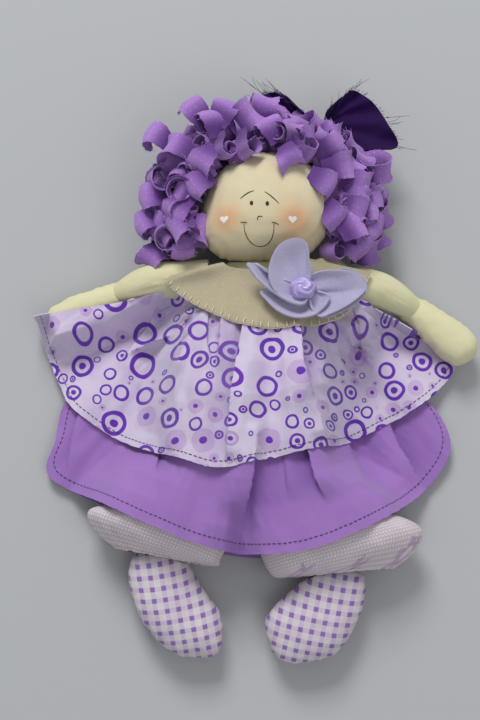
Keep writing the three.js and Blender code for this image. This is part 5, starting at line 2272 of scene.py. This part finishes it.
MAIN_CURLS = (
    Curl(162, 179, 50, 250, 70, 8.5, 1.0, 13),
    Curl(166, 236, 44, 200, 62, 8.0, 1.6, 12),
    Curl(185, 250, 40, 262, 8, 7.0, 0.3, 15, 18),
    Curl(176, 152, 54, 160, 25, 8.0, 0.62, 18),
    Curl(156, 140, 46, 150, 15, 9.0, 0.45, 17),
    Curl(192, 112, 50, 130, 10, 9.0, 0.4, 17, 18),
    Curl(228, 112, 56, 60, -15, 8.0, 0.5, 19),
    Curl(210, 122, 56, 110, 20, 8.0, 0.6, 17),
    Curl(244, 117, 56, 40, 15, 8.5, 0.55, 20),
    Curl(262, 108, 50, 75, 12, 8.0, 0.5, 17),
    Curl(284.5, 133, 58, 100, 55, 7.0, 1.1, 16),
    Curl(268, 128, 58, 120, 10, 7.5, 0.6, 17),
    Curl(247, 148, 62, 280, 50, 6.0, 1.1, 15),
    Curl(226, 150, 60, 275, 60, 6.5, 1.1, 13),
    Curl(205, 162, 58, 235, 15, 7.5, 0.6, 17),
    Curl(197, 187, 56, 215, 8, 7.5, 0.55, 17),
    Curl(178, 186, 54, 190, 60, 7.0, 1.1, 13),
    Curl(289, 157, 64, 290, 6, 6.5, 0.42, 16, 8),
    Curl(306, 150, 58, 320, 50, 7.0, 1.0, 15),
    Curl(326, 183, 58, 330, 10, 7.5, 0.5, 16),
    Curl(331, 145, 54, 30, 25, 8.0, 0.6, 17),
    Curl(341, 166, 54, 10, 15, 8.0, 0.6, 17),
    Curl(376, 168, 44, 5, 45, 10.0, 0.8, 14),
    Curl(358, 184, 50, -15, 12, 8.0, 0.55, 17),
    Curl(345, 216, 48, -60, 15, 8.5, 0.5, 18),
    Curl(354, 246, 36, -40, 12, 7.5, 0.6, 16),
    Curl(334, 252, 40, 250, 50, 7.0, 0.9, 14),
    Curl(151, 199, 44, 185, 5, 8.5, 0.45, 17),
    Curl(155, 258, 32, 225, 12, 7.5, 0.5, 16),
    Curl(178, 213, 52, 235, 10, 7.5, 0.5, 17),
    Curl(146, 226, 40, 200, 20, 8.0, 0.6, 16),
    Curl(336, 217, 54, 300, 20, 6.5, 0.5, 16),
    Curl(365, 226, 38, -20, 20, 7.5, 0.6, 16),
)


CURL_LEVELS = (
    (50, 3, 26, 7.2, 0), (39, 12, 28, 7.6, 0), (27, 17, 28, 7.6, 0), (16, 13, 22, 7.0, 0),
    (44, -4, 20, 6.4, 180),
)


def hair_ring(bearing: float) -> Array:
    """Middle of the hair's core in a direction from the head's middle.

    Args:
        bearing: Direction in degrees from the doll's left.

    Returns:
        x and y in millimetres.
    """
    hub = plan([(0.0153, 0.275)])[0]
    turn = math.radians(bearing)
    reach = 11.3 + math.hypot(41 * math.cos(turn), 33.5 * math.sin(turn))
    return hub + reach * np.array([math.cos(turn), math.sin(turn)])


def extra_curls(rng: random.Random) -> list[Curl]:
    """Strips that fill the hair between and behind the main curls.

    Args:
        rng: Source of chance.

    Returns:
        The curls.
    """
    made = []
    for height, out, count, radius, turned in CURL_LEVELS:
        for k in range(count):
            bearing = -24 + 228 * (k + rng.uniform(0.2, 0.8)) / count
            turn = math.radians(bearing)
            way = np.array([math.cos(turn), math.sin(turn)])
            spot = hair_ring(bearing) + way * (out + rng.uniform(-2, 2))
            tall = height + rng.uniform(-3, 3)
            made.append(Curl(
                *PHOTO.pixel_of(*spot, tall),
                tall,
                bearing + rng.uniform(-55, 55) + turned,
                rng.uniform(-20, 60),
                radius + rng.uniform(-1.2, 1.2),
                rng.choice((0.42, 0.5, 0.6, 0.75, 1.1)),
                rng.uniform(13, 18),
                10.0,
            ))
    return made


def make_hair() -> None:
    """Core, strips and loose threads of the hair."""
    rng = random.Random(SEED)
    draft, fringe = MeshDraft(), MeshDraft()
    for curl in (*MAIN_CURLS, *extra_curls(rng)):
        add_strip(draft, fringe, curl, rng)
    strips = draft.build("hair_strips", Cloth.HAIR, thickness=STRIP_THICK)
    threads = fringe.build("hair_threads", Cloth.HAIR_THREAD)
    nodes = [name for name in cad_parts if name.startswith(("hair_front", "hair_back"))]
    roll = Stuffing(voxel=2.0, lump=1.6, lump_size=6.0, pucker=0.0)
    # The core's dark colour is painted shade in the gaps between the strips.
    core = stuffed("hair_core_roll", "hair_core", Cloth.CORE, roll)
    attach(strips, "head", "hair_strips", *nodes)
    for obj in (threads, core):
        attach(obj, "head", "hair_strips")


BOW_WINGS = {
    "bow_wing_left": (
        ((320, 132), (327, 121), (335, 134)),
        (
            (326, 112), (338, 101), (350.5, 91), (363, 95), (375, 105), (388, 124), (397.5, 146),
            (372, 149.5), (345, 151),
        ),
        5,
    ),
    "bow_wing_right": (
        ((312, 120), (304, 124), (300, 131)),
        ((297, 108), (285, 96), (272, 93), (263, 96), (266, 108)),
        3,
    ),
}
BOW_GRID = (24, 80)


def make_bow() -> None:
    """Pleated wings, knot and frayed threads of the bow."""
    rng = random.Random(SEED + 1)
    threads = MeshDraft()
    for name, (near, far, count) in BOW_WINGS.items():

        def lay(along: float, share: float) -> tuple[tuple, tuple[float, float]]:
            """Point at a share out and a share across."""
            a, b = catmull(near, share), catmull(far, share)
            px, py = a + (b - a) * along
            pleat = math.sin(share * math.tau * count + 0.8 * math.sin(along * 3)) * 1.5 * (0.2 + 0.8 * along)
            fray = 0.5 * ripple(share * 200, 1, 1, 2.0) * smooth(along, 0.92, 1.0)
            height = 30 + 6 * along ** 2 + pleat + 0.8 * ripple(px, py, 2.0, 9.0) + fray
            return (*PHOTO.spot(px, py, height), height), (share * 60, along * 40)

        draft = MeshDraft()
        rows = draft.surface(lattice(*BOW_GRID, lay))
        for index in range(90):
            j = rng.randrange(1, BOW_GRID[1])
            tip = Vector(draft.points[rows[-1][j]])
            length = rng.uniform(1.0, 3.4) if index % 5 else rng.uniform(6.0, 15.0)
            add_thread(threads, tip, tip - Vector(draft.points[rows[-3][j]]), length, rng)
        wing = draft.build(name + "_cloth", Cloth.BOW, thickness=COTTON)
        attach(wing, "head", "bow_cotton", name)
    frayed = attach(threads.build("bow_threads", Cloth.BOW_THREAD), "head", "bow_cotton")
    knotted = Stuffing(voxel=1.0, rounds=3, lump=0.8, lump_size=4.0, pucker=0.0)
    knot = attach(stuffed("bow_knot_cloth", "bow_knot", Cloth.BOW, knotted), "head", "bow_cotton")


# Studio.


LAMPS = (
    ("key", (-0.5, 2.1, 2.0), 1.1, 62.0),
    ("fill", (0.9, -0.9, 2.0), 1.6, 10.0),
)
TABLE_HALF = 900


def make_studio() -> None:
    """Pale table, soft lamps and a pale world."""
    draft = MeshDraft()
    ends = (-TABLE_HALF, 0, TABLE_HALF)
    draft.grid([[draft.add((x, y, -0.05), (x, y)) for x in ends] for y in ends])
    mesh = bpy.data.meshes.new("table_top")
    mesh.from_pydata([[v * MM for v in p] for p in draft.points], [], [list(f) for f in draft.faces])
    floor = bpy.data.objects.new("table_top", mesh)
    bpy.context.scene.collection.objects.link(floor)
    material = bpy.data.materials.new("table_top")
    material.use_nodes = True
    shader = material.node_tree.nodes["Principled BSDF"]
    shader.inputs["Base Color"].default_value = linear((174, 176, 178))
    shader.inputs["Roughness"].default_value = 0.8
    mesh.materials.append(material)
    for name, place, size, power in LAMPS:
        data = bpy.data.lights.new(name, "AREA")
        data.size = size
        data.energy = power
        lamp = bpy.data.objects.new(name, data)
        bpy.context.scene.collection.objects.link(lamp)
        lamp.location = place
        lamp.rotation_euler = (-Vector(place)).to_track_quat("-Z", "Y").to_euler()
    world = bpy.data.worlds.new("studio")
    world.use_nodes = True
    world.node_tree.nodes["Background"].inputs["Color"].default_value = linear((226, 228, 232))
    world.node_tree.nodes["Background"].inputs["Strength"].default_value = 0.52
    bpy.context.scene.world = world
    bpy.context.scene.view_settings.view_transform = "Standard"


def main() -> None:
    """Builds the doll and its studio."""
    PHOTO.create()
    make_studio()
    steps = (make_head, make_body, make_shoulders, dress, make_collar, make_flower, make_hair, make_bow)
    for step in steps:
        step()


if __name__ == "__main__":
    main()
